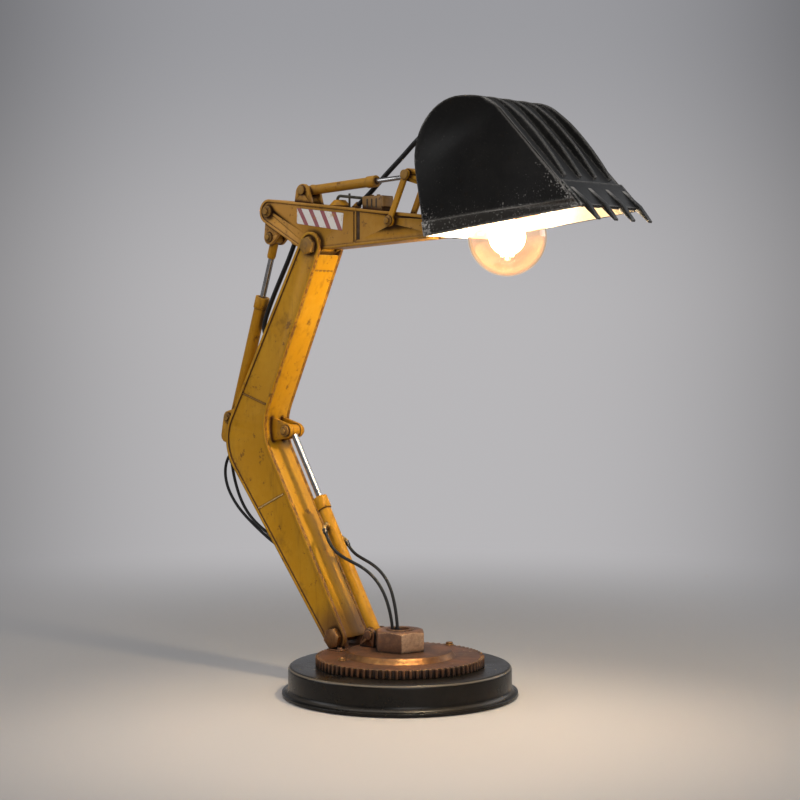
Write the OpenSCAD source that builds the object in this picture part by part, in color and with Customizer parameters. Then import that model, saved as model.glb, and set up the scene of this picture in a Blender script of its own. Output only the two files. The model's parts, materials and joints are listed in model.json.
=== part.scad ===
// Desk lamp shaped like an excavator's arm: a weighted round base, a slewing gear ring,
// a cranked boom, a stick, three rams and a toothed bucket that shades the bulb.
// The arm lies in the X-Z plane. The bucket is towards +X and the floor is at z = 0.

/* [Base] */
// Diameter of the drum above the foot
base_d = 180; // [170:1:190]
// How far the flared foot stands out from the drum
flare_w = 5; // [3:0.5:12]
// Height of the foot's flare
flare_h = 5; // [3:0.5:6]
// Height of the base's top face
base_h = 24; // [22:0.5:32]
// Wall of the base shell
base_wall = 2.6; // [2:0.1:3.5]
// Radius that rounds the drum's top edge
base_edge_r = 3; // [1.5:0.1:4]
// Thickness of the floor pad
pad_h = 1.5; // [1:0.1:3]
// Thickness of the bottom plate
bottom_plate_h = 2; // [1.5:0.1:3]
// Diameter of the ballast ring
ballast_d = 128; // [110:1:132]
// Height of the ballast ring
ballast_h = 9; // [5:0.5:11]
// Radius of the circle of bottom screws
screw_circle_r = 74; // [70:0.5:76]
// Diameter of the bottom screws
screw_d = 3.5; // [2.5:0.1:4]

/* [Cord inlet and switch] */
// Bore of the cord inlet
inlet_bore_d = 6.4; // [5:0.1:7.4]
// Diameter of the inlet's flange
inlet_flange_d = 12.4; // [11.4:0.1:12.4]
// Direction of the switch, seen from above
switch_turn = 135; // [120:1:150]
// Diameter of the switch barrel
switch_d = 10; // [9:0.1:10.2]
// Diameter of the push button
button_d = 6.8; // [5:0.1:7.5]
// Travel of the push button
button_travel = 1.5; // [1:0.1:2]

/* [Slewing gear] */
// Tip diameter of the gear ring
gear_d = 136; // [124:1:150]
// Number of teeth
gear_teeth = 80; // [60:1:100]
// Depth of a tooth
tooth_h = 3.2; // [2:0.1:4]
// Thickness of the gear ring
gear_h = 7; // [5:0.5:10]
// Width of the centre nut across its flats
nut_af = 37; // [34:0.5:38]
// Height of the centre nut
nut_h = 16.5; // [14:0.5:18]
// Angle of the centre nut's corner from the arm's plane
nut_turn = 16; // [0:1:60]
// Diameter of the raised hub on the gear ring, at its foot
hub_d = 90; // [84:0.5:91]
// Height of the raised hub
hub_h = 4.5; // [3.5:0.1:5.5]
// Diameter of the hollow spindle
spindle_d = 22; // [18:0.5:24]
// Bore of the hollow spindle
spindle_bore_d = 16; // [12:0.5:16.5]
// How far the bush stands above the base's top face
bush_stand = 0.3; // [0.2:0.05:0.6]

/* [Boom] */
// Width of the boom over its rims
boom_w = 29; // [27:0.5:34]
// Thickness of the boom's side plates
boom_web = 1.8; // [1.2:0.1:2.4]
// How far the rims stand out from the side plates
boom_rim = 1.2; // [0.6:0.1:1.6]
// Thickness of the boom's front and back plates, and width of the rims
boom_skin = 2.4; // [1.6:0.1:3]
// How far the foot pin lies behind the slewing axis
foot_pin_back = 59.5; // [57:0.5:62]
// Height of the foot pin above the gear ring
foot_pin_rise = 9.2; // [8.8:0.1:12]
// Radius of the boom's foot
boom_foot_r = 11; // [10:0.1:12]
// How far below its pin the boom's foot is cut flat
boom_foot_cut = 6.3; // [5.8:0.1:6.6]
// Elbow's centre behind the foot pin
elbow_back = 94.3; // [88:0.5:100]
// Elbow's centre above the foot pin
elbow_rise = 158.2; // [150:0.5:166]
// Radius of the elbow's back
elbow_r = 37; // [33:0.5:40]
// Radius of the elbow's hollow front
elbow_hollow_r = 39; // [34:0.5:44]
// Head pin behind the foot pin
head_back = 28.9; // [24:0.5:34]
// Head pin above the foot pin
head_rise = 321.9; // [310:0.5:330]
// Radius of the head's ears
ear_r = 11.5; // [10.5:0.1:13]
// Diameter of the foot pin and of the head pin
main_pin_d = 8; // [6:0.5:9]
// Outer diameter of the bushes on the main pins
main_bush_d = 13; // [12:0.1:14]
// Thickness of the foot bracket's lugs
foot_lug = 4; // [3:0.1:5]

/* [Stick] */
// Width of the stick over its rims
stick_w = 21.2; // [19:0.2:21.6]
// Thickness of the stick's side plates
stick_web = 1.6; // [1.2:0.1:2]
// How far the stick's rims stand out
stick_rim = 0.9; // [0.5:0.1:1.2]
// Thickness of the stick's top and bottom plates
stick_skin = 2.2; // [1.6:0.1:2.6]
// Rear boss behind the head pin
rear_boss_back = 53.1; // [48:0.5:58]
// Rear boss above the head pin
rear_boss_rise = 30.4; // [27:0.5:34]
// Radius of the rear boss
rear_boss_r = 10.3; // [9:0.1:12]
// Tip pin in front of the head pin
tip_reach = 135.4; // [128:0.5:142]
// Tip pin above the head pin
tip_rise = 11.1; // [9:0.5:14]
// Radius of the stick's tip
tip_r = 7.9; // [7:0.1:8.6]
// Diameter of the tip pin
tip_pin_d = 7; // [5:0.5:7.5]
// Outer diameter of the bush on the tip pin
tip_bush_d = 11.6; // [10.6:0.1:12]
// Width of the groove across the stick's sides
groove_w = 3; // [2:0.1:5]
// Depth of that groove
groove_depth = 0.6; // [0.3:0.1:0.9]

/* [Rams] */
// Diameter of the lift ram's barrel
lift_d = 10.2; // [9:0.1:10.8]
// Diameter of the lift ram's rod
lift_rod_d = 5.5; // [4.5:0.1:6]
// Length of the lift ram's barrel from its foot pin
lift_tube = 118; // [105:1:125]
// Diameter of the arm ram's barrel
arm_d = 10.5; // [9:0.1:11]
// Diameter of the arm ram's rod
arm_rod_d = 5; // [4:0.1:6]
// Length of the arm ram's barrel from its foot pin
arm_tube = 110; // [100:1:120]
// Diameter of the bucket ram's barrel
tip_ram_d = 8; // [7:0.1:8.6]
// Diameter of the bucket ram's rod
tip_ram_rod_d = 4; // [3:0.1:4.4]
// Length of the bucket ram's barrel from its foot pin
tip_ram_tube = 78; // [70:1:84]
// Wall of the ram barrels
ram_wall = 1.2; // [0.8:0.1:1.3]
// Diameter of the ram pins
ram_pin_d = 5; // [4:0.1:5.4]
// Diameter of the bucket ram's foot pin
tip_ram_pin_d = 4; // [3:0.1:4.6]
// Radius of the ram eyes
ram_eye_r = 5.2; // [4.8:0.1:5.6]
// Half the width of the ram eyes
ram_eye_half = 4.2; // [3.6:0.1:4.6]
// Thickness of the ram lugs
ram_lug = 3; // [2.4:0.1:3.4]

/* [Bucket] */
// Width of the bucket
bucket_w = 74; // [66:1:84]
// Thickness of the bucket's sheets
bucket_sheet = 2; // [1.4:0.1:2.6]
// Radius of the bucket's rounded top
bucket_r = 44.9; // [43:0.5:47]
// How far the wear strips stand out from the sides
wear_strip_h = 1.1; // [0.6:0.1:1.8]
// Height of the wear strips at the back
wear_strip_back = 11; // [8:0.5:14]
// Height of the wear strips at the front
wear_strip_front = 8.5; // [6:0.5:12]
// Number of ribs on the bucket's shell
rib_count = 4; // [2:1:6]
// Distance between the ribs
rib_pitch = 18.6; // [14:0.2:21]
// Thickness of a rib
rib_t = 2; // [1.4:0.1:3]
// Height of a rib
rib_h = 2.6; // [1.5:0.1:4]
// Number of teeth
claw_count = 4; // [3:1:5]
// Distance between the teeth
claw_pitch = 21; // [12:0.2:22]
// Width of a tooth
claw_w = 4.4; // [3.2:0.2:8]
// How far the teeth reach past the lip
claw_reach = 15.5; // [10:0.5:20]
// Thickness of the side links
link_t = 2.5; // [2:0.1:3]
// Thickness of the bucket's ears
bucket_ear = 3; // [2.4:0.1:3.6]

/* [Lamp] */
// Diameter of the bulb's globe
bulb_d = 60; // [54:1:61]
// Length of the bulb with its cap
bulb_l = 108; // [102:1:110]
// Diameter of the bulb's screw cap
cap_d = 26.4; // [26:0.1:26.8]
// Length of the bulb's screw cap
cap_l = 26; // [24:0.5:28]
// Wall of the bulb's glass
glass_t = 0.9; // [0.6:0.1:1.2]
// Outer diameter of the lamp holder
holder_d = 37; // [34:0.5:40]

/* [Hoses] */
// Diameter of the thin hoses
hose_d = 2.6; // [2:0.1:3]
// Diameter of the lamp leads
lead_d = 4; // [3.4:0.1:5]
// How far the hose and lead glands stand out
gland_l = 4; // [3:0.5:5]

/* [Clearances] */
// Radial clearance of a pin in its bore
running = 0.05; // [0.02:0.01:0.1]
// Gap between plates that pass each other
side_gap = 0.4; // [0.3:0.05:0.5]

/* [Hidden] */
$fn = 48;
// Angle of one step along a rounded outline
arc_step = 7.5;
// A cut that runs past the face it opens
past = 1;

paint = "goldenrod";
shade_paint = "dimgray";
copper = "sienna";
bright = "silver";
black = "#222222";

base_top = base_h;
plate_top = pad_h + bottom_plate_h;
roof_extra = 0.4;
base_roof = base_wall + roof_extra;
drum_r = base_d / 2;
inner_r = drum_r - base_wall;
foot_lift = 0.6;
foot_edge_h = 2.6;
flare_top = foot_lift + foot_edge_h + flare_h;
// The inlet and the switch lie midway between the flare and the rounded top edge
inlet_z = (flare_top + base_top - base_edge_r) / 2;
switch_flange_w = 1.2;
bush_l = 11;
bush_bottom = base_top - bush_l;
bush_wall = 3;
spindle_r = spindle_d / 2;
gear_bottom = base_top + bush_stand;
gear_top = gear_bottom + gear_h;
hub_top = gear_top + hub_h;
nut_top = hub_top + nut_h;
hose_floor = nut_top - 3.3;

// Pins of the boom
foot = [-foot_pin_back, gear_top + foot_pin_rise];
elbow = foot + [-elbow_back, elbow_rise];
hollow_front = 50.2;
hollow_rise = 13;
hollow = elbow + [hollow_front, hollow_rise];
head = foot + [-head_back, head_rise];
lift_foot_back = 26.8;
lift_foot_rise = 14.5;
lift_foot = [-lift_foot_back, gear_top + lift_foot_rise];
lift_head_front = 30.3;
lift_head_rise = 9.3;
lift_head = elbow + [lift_head_front, lift_head_rise];
arm_foot_back = 40.2;
arm_foot_rise = 17.8;
arm_foot = elbow + [-arm_foot_back, arm_foot_rise];

// Pins of the stick and the bucket's linkage
rear_boss = head + [-rear_boss_back, rear_boss_rise];
arm_head_back = 1.8;
arm_head_drop = 21.5;
arm_head = rear_boss + [-arm_head_back, -arm_head_drop];
tip = head + [tip_reach, tip_rise];
tip_ram_foot_back = 15.1;
tip_ram_foot_rise = 46.6;
tip_ram_foot = head + [-tip_ram_foot_back, tip_ram_foot_rise];
link_root_back = 46.8;
link_root_rise = 6.4;
link_root = tip + [-link_root_back, link_root_rise];
link_head_front = 17.3;
link_head_rise = 35.6;
link_head = link_root + [link_head_front, link_head_rise];
bucket_pivot_back = 1;
bucket_pivot_rise = 33;
bucket_pivot = tip + [-bucket_pivot_back, bucket_pivot_rise];

// Eyes of the opened loops stand off their pins at rest, so that they pass them on both sides
lift_eye = lift_head + [0.32, 0.05];
arm_eye = arm_head + [0.63, -0.2];
tip_ram_eye = link_head + [-0.05, -0.17];
bucket_link_eye = bucket_pivot + [0.2, -0.13];
lift_slack = 0.5;
arm_slack = 0.85;
tip_ram_slack = 0.4;
link_slack = 0.45;

boom_half = boom_w / 2;
boom_web_out = boom_half - boom_rim;
boom_inside = boom_web_out - boom_web;
stick_half = stick_w / 2;
stick_web_out = stick_half - stick_rim;
stick_inside = stick_web_out - stick_web;
foot_lug_out = boom_inside - side_gap;
foot_lug_in = foot_lug_out - foot_lug;
link_in = stick_half + side_gap + 0.2;
link_out = link_in + link_t;
ear_in = stick_half + side_gap + 0.3;
ear_out = ear_in + bucket_ear;
ram_lug_in = ram_eye_half + side_gap;
ram_lug_out = ram_lug_in + ram_lug;
lift_lug_in = lift_d / 2 + side_gap;
lift_lug_out = lift_lug_in + ram_lug;
ram_pin_r = ram_pin_d / 2;
main_pin_r = main_pin_d / 2;
main_bush_r = main_bush_d / 2;
tip_pin_r = tip_pin_d / 2;
tip_bush_r = tip_bush_d / 2;

// Outlines, as circles that a belt runs round. A negative radius is a hollow
boom_circles = [
    [foot[0], foot[1], boom_foot_r],
    [hollow[0], hollow[1], -elbow_hollow_r],
    [head[0], head[1], ear_r],
    [elbow[0], elbow[1], elbow_r]
];
stick_circles = [
    [head[0], head[1], 8.6],
    [head[0] + 13.2, head[1] - 8.6, -5.6],
    [tip[0], tip[1], tip_r],
    [rear_boss[0], rear_boss[1], rear_boss_r]
];
back_lip_front = 12;
back_lip_drop = 8.8;
back_lip = tip + [back_lip_front, -back_lip_drop];
front_lip_reach = 160.4;
front_lip_rise = 8.1;
front_lip = tip + [front_lip_reach, front_lip_rise];
crown_gap = 1.7;
crown_rise = 50.6;
crown_back = tip + [bucket_r + crown_gap, crown_rise];
crown_flat = 8.3;
crown_drop = 0.4;
crown_front = crown_back + [crown_flat, -crown_drop];
bucket_circles = [
    [back_lip[0], back_lip[1], 0],
    [front_lip[0], front_lip[1], 0],
    [crown_front[0], crown_front[1], bucket_r],
    [crown_back[0], crown_back[1], bucket_r]
];
bucket_half = bucket_w / 2;
bucket_in = bucket_half - bucket_sheet;
front_normal = belt_normal(bucket_circles[1], bucket_circles[2]);
back_normal = belt_normal(bucket_circles[3], bucket_circles[0]);
// Unit steps along the front wall, up from the lip, and out of it
front_up = polar(front_normal + 90);
front_out = polar(front_normal);

// Lamp inside the bucket
bulb_reach = 63.4;
bulb_drop = 9.5;
bulb = tip + [bulb_reach, -bulb_drop];
bulb_r = bulb_d / 2;
bulb_bottom = bulb[1] - bulb_r;
bulb_top = bulb_bottom + bulb_l;
cap_bottom = bulb_top - cap_l;
neck_r = cap_d / 2 - 0.4;
holder_bottom = cap_bottom - 4;
holder_cup_r = cap_d / 2 + 0.4;
holder_top = bulb_top + 15;

// Sides of the arm's plane where the hoses and the lead run
lead_y = 7;
rear_left_y = -5;
rear_right_y = 3;

function in_plane(y, points) = [for (p = points) [p[0], y, p[1]]];
function polar(a) = [cos(a), sin(a)];
function unit(v) = v / norm(v);

// Direction square to the line that touches two circles, out of an outline that runs anticlockwise
function belt_normal(p, q) =
    atan2(q[1] - p[1], q[0] - p[0]) - acos((p[2] - q[2]) / norm([q[0] - p[0], q[1] - p[1]]));
function belt_turn(r, d) = r < 0 ? d - 360 * ceil((d - 20) / 360) : d - 360 * floor((d + 20) / 360);
function belt_arc(c, start, turn) =
    let (steps = c[2] == 0 ? 0 : max(1, ceil(abs(turn) / arc_step)))
    [for (k = [0:steps]) [c[0], c[1]] + c[2] * polar(start + turn * k / max(1, steps))];
function belt(circles) =
    let (n = len(circles))
    [for (i = [0:n - 1])
        let (c = circles[i])
        let (start = belt_normal(circles[(i + n - 1) % n], c))
        let (end = belt_normal(c, circles[(i + 1) % n]))
        each belt_arc(c, start, belt_turn(c[2], end - start))];
function shrink(circles, t) = [for (c = circles) [c[0], c[1], c[2] - t]];
function ball(p, r) = [p[0], p[1], r];

// Tube along a route: rings carried from point to point without twist
function route_tangents(p) =
    let (last = len(p) - 1)
    [for (i = [0:last])
        unit((i < last ? unit(p[i + 1] - p[i]) : [0, 0, 0]) + (i > 0 ? unit(p[i] - p[i - 1]) : [0, 0, 0]))];
function route_sides(t, side, i = 0) =
    i == len(t) ? [] :
    let (s = unit(side - (side * t[i]) * t[i]))
    concat([s], route_sides(t, s, i + 1));
module tube_along(p, d) {
    sides = 8;
    t = route_tangents(p);
    u = route_sides(t, [0.3, 0.2, 1]);
    rings = [for (i = [0:len(p) - 1], k = [0:sides - 1])
        p[i] + d / 2 * (cos(360 * k / sides) * u[i] + sin(360 * k / sides) * cross(t[i], u[i]))];
    last = (len(p) - 1) * sides;
    walls = [for (i = [0:len(p) - 2], k = [0:sides - 1])
        let (a = i * sides + k)
        let (b = i * sides + (k + 1) % sides)
        each [[a, a + sides, b], [b, a + sides, b + sides]]];
    caps = [for (k = [1:sides - 2]) each [[0, k, k + 1], [last, last + k + 1, last + k]]];
    polyhedron(rings, concat(walls, caps));
}

// Placing in the arm's plane
module slab(y0, y1) {
    translate([0, y1, 0]) rotate([90, 0, 0]) linear_extrude(y1 - y0) children();
}
module both_sides() {
    children();
    mirror([0, 1, 0]) children();
}
module cross_pin(p, r, y0, y1) {
    translate([p[0], y1, p[1]]) rotate([90, 0, 0]) cylinder(r = r, h = y1 - y0);
}
module aim(p, q) {
    translate([p[0], 0, p[1]]) rotate([0, atan2(q[0] - p[0], q[1] - p[1]), 0]) children();
}
module outward(turn, z) {
    rotate([0, 0, turn]) translate([0, 0, z]) rotate([0, 90, 0]) children();
}
module gland(p, normal, y, d) {
    deep = 3;
    translate([p[0], y, p[1]]) rotate([0, 90 - normal, 0]) translate([0, 0, -deep])
        cylinder(d = d, h = gland_l + deep);
}
// Elbow that turns a hose along what carries it, drawn upright and bent towards its own x axis
hose_bend_r = 3.2;
module hose_bend(turn) {
    seat = 1;
    pipe_d = hose_d + 1;
    translate([0, 0, -seat]) cylinder(d = pipe_d, h = seat);
    translate([hose_bend_r, 0, 0]) rotate([90, 0, 0]) rotate([0, 0, 180 - turn])
        rotate_extrude(angle = turn) translate([hose_bend_r, 0]) circle(d = pipe_d, $fn = 24);
}
module bent_gland(p, normal, y, d, turn) {
    gland(p, normal, y, d);
    translate([p[0], y, p[1]]) rotate([0, 90 - normal, 0]) translate([0, 0, gland_l])
        rotate([0, 0, turn > 0 ? 180 : 0]) hose_bend(abs(turn));
}
module hex_head(p, af, y0, y1) {
    translate([p[0], y1, p[1]]) rotate([90, 0, 0]) rotate([0, 0, 15])
        cylinder(d = af / cos(30), h = y1 - y0, $fn = 6);
}

// Base
module base_profile() {
    foot_r = drum_r + flare_w;
    toe = 0.8;
    edge_middle = [drum_r - base_edge_r, base_top - base_edge_r];
    edge = [for (a = [90:-arc_step:0]) edge_middle + base_edge_r * polar(a)];
    flare = [for (a = [180:arc_step:270]) [foot_r + flare_w * cos(a), flare_top + flare_h * sin(a)]];
    rim = [[foot_r, foot_lift + toe], [foot_r - toe, foot_lift], [inner_r, foot_lift]];
    inside = [[inner_r, base_top - base_roof], [spindle_r + bush_wall + 5, base_top - base_roof]];
    boss = [[spindle_r + bush_wall + 5, bush_bottom], [spindle_r + bush_wall, bush_bottom]];
    polygon(concat(edge, flare, rim, inside, boss, [[spindle_r + bush_wall, base_top]]));
}
module at_screws() {
    for (turn = [0, 120, 240]) rotate([0, 0, turn]) translate([screw_circle_r, 0, 0]) children();
}
module base_shell() {
    color(black) difference() {
        union() {
            rotate_extrude($fn = 96) base_profile();
            at_screws() translate([0, 0, plate_top])
                cylinder(d = screw_d + 5, h = base_top - base_roof / 2 - plate_top);
        }
        at_screws() translate([0, 0, plate_top - past]) cylinder(d = screw_d, h = 9);
        outward(180, inlet_z) translate([0, 0, inner_r - 2 * past])
            cylinder(d = inlet_neck_d, h = base_wall + 4 * past);
        outward(switch_turn, inlet_z) translate([0, 0, inner_r - 2 * past])
            cylinder(d = switch_d, h = base_wall + 4 * past);
    }
}
inlet_neck_d = inlet_flange_d - 3.4;
module floor_pad() {
    color("darkslategray") cylinder(r = inner_r - 4, h = pad_h);
}
module bottom_plate() {
    color(black) difference() {
        translate([0, 0, pad_h]) cylinder(r = inner_r - side_gap / 2, h = bottom_plate_h);
        at_screws() translate([0, 0, pad_h - past])
            cylinder(d = screw_d + 0.2, h = bottom_plate_h + 2 * past);
        at_screws() translate([0, 0, pad_h - past]) cylinder(d = screw_d + 3.2, h = 1.2 + past);
    }
}
module bottom_screws() {
    color(bright) at_screws() translate([0, 0, pad_h]) {
        cylinder(d = screw_d + 3, h = 1.2);
        cylinder(d = screw_d - 2 * running, h = bottom_plate_h + 6);
    }
}
module ballast_ring() {
    color("gray") translate([0, 0, plate_top]) difference() {
        cylinder(d = ballast_d, h = ballast_h);
        translate([0, 0, -past]) cylinder(r = spindle_r + 19, h = ballast_h + 2 * past);
    }
}
module slew_bush() {
    color("peru") translate([0, 0, bush_bottom]) difference() {
        cylinder(r = spindle_r + bush_wall - running, h = gear_bottom - bush_bottom);
        translate([0, 0, -past]) cylinder(r = spindle_r + running, h = gear_bottom - bush_bottom + 2 * past);
    }
}
module cord_grommet() {
    inner_flange = inner_r - 0.4;
    flange_h = 1.8;
    color(black) outward(180, inlet_z) difference() {
        union() {
            translate([0, 0, drum_r]) cylinder(d = inlet_flange_d, h = 2.5);
            translate([0, 0, inner_flange - flange_h])
                cylinder(d = inlet_neck_d - 2 * running, h = drum_r - inner_flange + flange_h + 1);
            translate([0, 0, inner_flange - flange_h]) cylinder(d = inlet_flange_d - 1, h = flange_h);
        }
        translate([0, 0, inner_flange - flange_h - past]) cylinder(d = inlet_bore_d, h = 12);
    }
}

// Push switch
switch_in = drum_r - 17;
button_in = drum_r - 5;
module switch_body() {
    nut_out = inner_r - 0.5;
    nut_l = 2.4;
    color(black) outward(switch_turn, inlet_z) {
        difference() {
            union() {
                translate([0, 0, switch_in]) cylinder(d = switch_d - 2 * running, h = drum_r - switch_in + 1);
                translate([0, 0, drum_r]) cylinder(d = switch_d + 2 * switch_flange_w, h = 2);
            }
            translate([0, 0, button_in - button_travel - 1]) cylinder(d = button_d + 2 * running, h = 12);
        }
        translate([0, 0, nut_out - nut_l]) difference() {
            cylinder(d = switch_d + 2 * switch_flange_w, h = nut_l);
            translate([0, 0, -past]) cylinder(d = switch_d, h = nut_l + 2 * past);
        }
    }
}
module switch_button() {
    button_l = 10.5;
    color("firebrick") outward(switch_turn, inlet_z) translate([0, 0, button_in])
        cylinder(d = button_d, h = button_l);
}

// Slewing gear and what stands on it
module gear_outline() {
    tip_r_gear = gear_d / 2;
    root_r = tip_r_gear - tooth_h;
    pitch = 360 / gear_teeth;
    polygon([for (i = [0:gear_teeth - 1]) each [
        root_r * polar((i - 0.28) * pitch), tip_r_gear * polar((i - 0.17) * pitch),
        tip_r_gear * polar((i + 0.17) * pitch), root_r * polar((i + 0.28) * pitch)]]);
}
module slew_gear() {
    seat = 1;
    slope = 3.5;
    hub_r = hub_d / 2;
    color(copper) difference() {
        union() {
            translate([0, 0, gear_bottom]) linear_extrude(gear_h) gear_outline();
            rotate_extrude($fn = 96) polygon([[0, gear_top - seat], [hub_r, gear_top - seat],
                [hub_r, gear_top], [hub_r - slope, hub_top], [0, hub_top]]);
        }
        translate([0, 0, gear_bottom - past])
            cylinder(r = spindle_r + running, h = gear_h + hub_h + 2 * past);
    }
}
nut_corner_r = nut_af / 2 / cos(30);
module centre_nut() {
    flat_r = nut_af / 2 - 0.6;
    clear_r = nut_corner_r + 1;
    bevel_fall = 0.5;
    color(copper) translate([0, 0, hub_top]) difference() {
        intersection() {
            rotate([0, 0, nut_turn]) cylinder(r = nut_corner_r, h = nut_h, $fn = 6);
            rotate_extrude() polygon([[0, -past], [clear_r, -past], [clear_r, nut_h - bevel_fall * (clear_r - flat_r)],
                [flat_r, nut_h], [0, nut_h]]);
        }
        translate([0, 0, -past]) cylinder(r = spindle_r + running, h = nut_h + 2 * past);
    }
}
spindle_bottom = plate_top + 1.2;
module spindle_tube() {
    color(copper) difference() {
        translate([0, 0, spindle_bottom]) cylinder(r = spindle_r, h = nut_top + 0.8 - spindle_bottom);
        translate([0, 0, hose_floor]) cylinder(d = spindle_bore_d, h = 10);
        translate([0, 0, spindle_bottom - past])
            cylinder(d = spindle_bore_d, h = hose_floor - 3 - spindle_bottom + past);
    }
}
module spindle_lock_nut() {
    washer = 1.2;
    nut_bottom = spindle_bottom + 0.4;
    color(bright) {
        translate([0, 0, bush_bottom - washer]) difference() {
            cylinder(r = spindle_r + 6, h = washer);
            translate([0, 0, -past]) cylinder(r = spindle_r + running, h = washer + 2 * past);
        }
        translate([0, 0, nut_bottom]) difference() {
            cylinder(r = spindle_r + 6, h = bush_bottom - washer - nut_bottom, $fn = 6);
            translate([0, 0, -past]) cylinder(r = spindle_r + running, h = 20);
        }
    }
}
foot_flange_h = 2;
foot_skirt_h = 0.8;
foot_bolt_af = 15;
foot_nut_af = 13;
module foot_bracket() {
    rear = foot[0] - 8;
    lug_front = foot[0] + 9;
    skirt_rear = foot[0] - 3;
    skirt_front = foot[0] + 12.5;
    skirt_half = boom_half + 6.5;
    bolt_head_h = 1.8;
    bolt_inset = 3.2;
    color(copper) difference() {
        union() {
            both_sides() slab(foot_lug_in, foot_lug_out) polygon(belt([
                [rear, gear_top, 0], [lug_front, gear_top, 0], [lug_front, gear_top + foot_flange_h, 0],
                ball(foot, boom_foot_r - 3.2), [rear, gear_top + foot_flange_h, 0]]));
            slab(-foot_lug_out, foot_lug_out) translate([rear, gear_top])
                square([lug_front - rear, foot_flange_h]);
            slab(-skirt_half, skirt_half) translate([skirt_rear, gear_top])
                square([skirt_front - skirt_rear, foot_skirt_h]);
            both_sides() translate([skirt_front - bolt_inset, skirt_half - bolt_inset, gear_top])
                cylinder(d = 4.6, h = foot_skirt_h + bolt_head_h, $fn = 6);
        }
        cross_pin(foot, main_pin_r + running, -foot_lug_out - past, foot_lug_out + past);
    }
}
module foot_bolt() {
    head_h = 4;
    head_in = boom_half + side_gap;
    color(copper) {
        cross_pin(foot, main_pin_r, -head_in - 1, head_in + 3);
        hex_head(foot, foot_bolt_af, -head_in - head_h, -head_in);
        difference() {
            hex_head(foot, foot_nut_af, head_in, head_in + head_h);
            cross_pin(foot, main_pin_r - running, head_in - past, head_in + head_h - 0.5);
        }
    }
}
lift_plate_h = 2;
lift_bracket_front = -nut_corner_r - side_gap;
module lift_bracket() {
    rear = lift_foot[0] - 10;
    color(copper) difference() {
        union() {
            both_sides() slab(lift_lug_in, lift_lug_out) polygon(belt([
                [rear, hub_top, 0], [lift_bracket_front, hub_top, 0],
                [lift_bracket_front, hub_top + lift_plate_h, 0], ball(lift_foot, ram_eye_r + 0.4),
                [rear, hub_top + lift_plate_h, 0]]));
            slab(-lift_lug_out, lift_lug_out) translate([rear, hub_top])
                square([lift_bracket_front - rear, lift_plate_h]);
        }
        cross_pin(lift_foot, ram_pin_r + running, -lift_lug_out - past, lift_lug_out + past);
    }
}
module headed_pin(p, r, half, head_r, head_h) {
    cross_pin(p, r, -half, half);
    cross_pin(p, head_r, -half - head_h, -half);
    cross_pin(p, head_r, half, half + head_h);
}
module lift_foot_pin() {
    color(copper) headed_pin(lift_foot, ram_pin_r, lift_lug_out, ram_pin_r + 1.4, 1.4);
}

// Boom
elbow_middle = elbow + [-13, 8];
module boom_outline() {
    polygon(belt(boom_circles));
}
module boom_core() {
    polygon(belt(shrink(boom_circles, boom_skin)));
}
module under_foot() {
    translate([foot[0] - 40, foot[1] - boom_foot_cut - 40]) square([80, 40]);
}
module boom_side_plate() {
    color(paint) difference() {
        union() {
            slab(boom_inside, boom_web_out) difference() {
                boom_outline();
                under_foot();
            }
            slab(boom_web_out, boom_half) difference() {
                boom_outline();
                boom_core();
                under_foot();
            }
        }
        cross_pin(foot, main_bush_r + running, boom_inside - past, boom_half + past);
        cross_pin(head, main_pin_r + running, boom_inside - past, boom_half + past);
    }
}
module boom_left_plate() {
    mirror([0, 1, 0]) boom_side_plate();
}
module boom_right_plate() {
    boom_side_plate();
}
module boom_strip() {
    difference() {
        boom_outline();
        boom_core();
    }
}
skin_rise = 13;
skin_bottom = foot[1] + skin_rise;
module boom_front_plate() {
    top = head[1] - 7.4;
    bottom = foot[1] + 1;
    color(paint) slab(-boom_inside, boom_inside) intersection() {
        boom_strip();
        polygon([[foot[0] - 4, bottom], [foot[0] + 90, bottom], [head[0] + 90, top],
            [head[0] - 2, top], elbow_middle]);
    }
}
// Directions out of the boom's two straight back faces
back_normal_low = belt_normal(boom_circles[3], boom_circles[0]);
back_normal_high = belt_normal(boom_circles[2], boom_circles[3]);
hose_gland_d = hose_d + 2;
lead_gland_d = lead_d + 2;
upper_bend = 85;
lower_bend = -62.8;
upper_left_turn = 199;
upper_right_turn = 194;
upper_left = elbow + elbow_r * polar(upper_left_turn);
upper_right = elbow + elbow_r * polar(upper_right_turn);
function low_back(up) = foot + boom_foot_r * polar(back_normal_low) + up * polar(back_normal_low - 90);
lower_left = low_back(112);
lower_right = low_back(93);
stick_lead_foot = elbow + elbow_r * polar(back_normal_high) + 75.8 * polar(back_normal_high - 90);
module boom_back_plate() {
    top = head[1] - 22;
    color(paint) {
        slab(-boom_inside, boom_inside) intersection() {
            boom_strip();
            polygon([[foot[0] - 6, skin_bottom], elbow_middle, [head[0] - 12, top], [head[0] - 90, top],
                [elbow[0] - 60, elbow[1]], [foot[0] - 90, skin_bottom]]);
        }
        difference() {
            union() {
                bent_gland(upper_left, upper_left_turn, rear_left_y, hose_gland_d, upper_bend);
                gland(upper_right, upper_right_turn, rear_right_y, hose_gland_d);
                bent_gland(lower_left, back_normal_low, rear_left_y, hose_gland_d, lower_bend);
                bent_gland(lower_right, back_normal_low, rear_right_y, hose_gland_d, lower_bend);
                gland(stick_lead_foot, back_normal_high, 0, lead_gland_d);
            }
            slab(-boom_inside, boom_inside) boom_core();
        }
    }
}
module boom_foot_bush() {
    color(bright) both_sides() difference() {
        cross_pin(foot, main_bush_r, boom_inside, boom_half);
        cross_pin(foot, main_pin_r + running, boom_inside - past, boom_half + past);
    }
}
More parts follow.
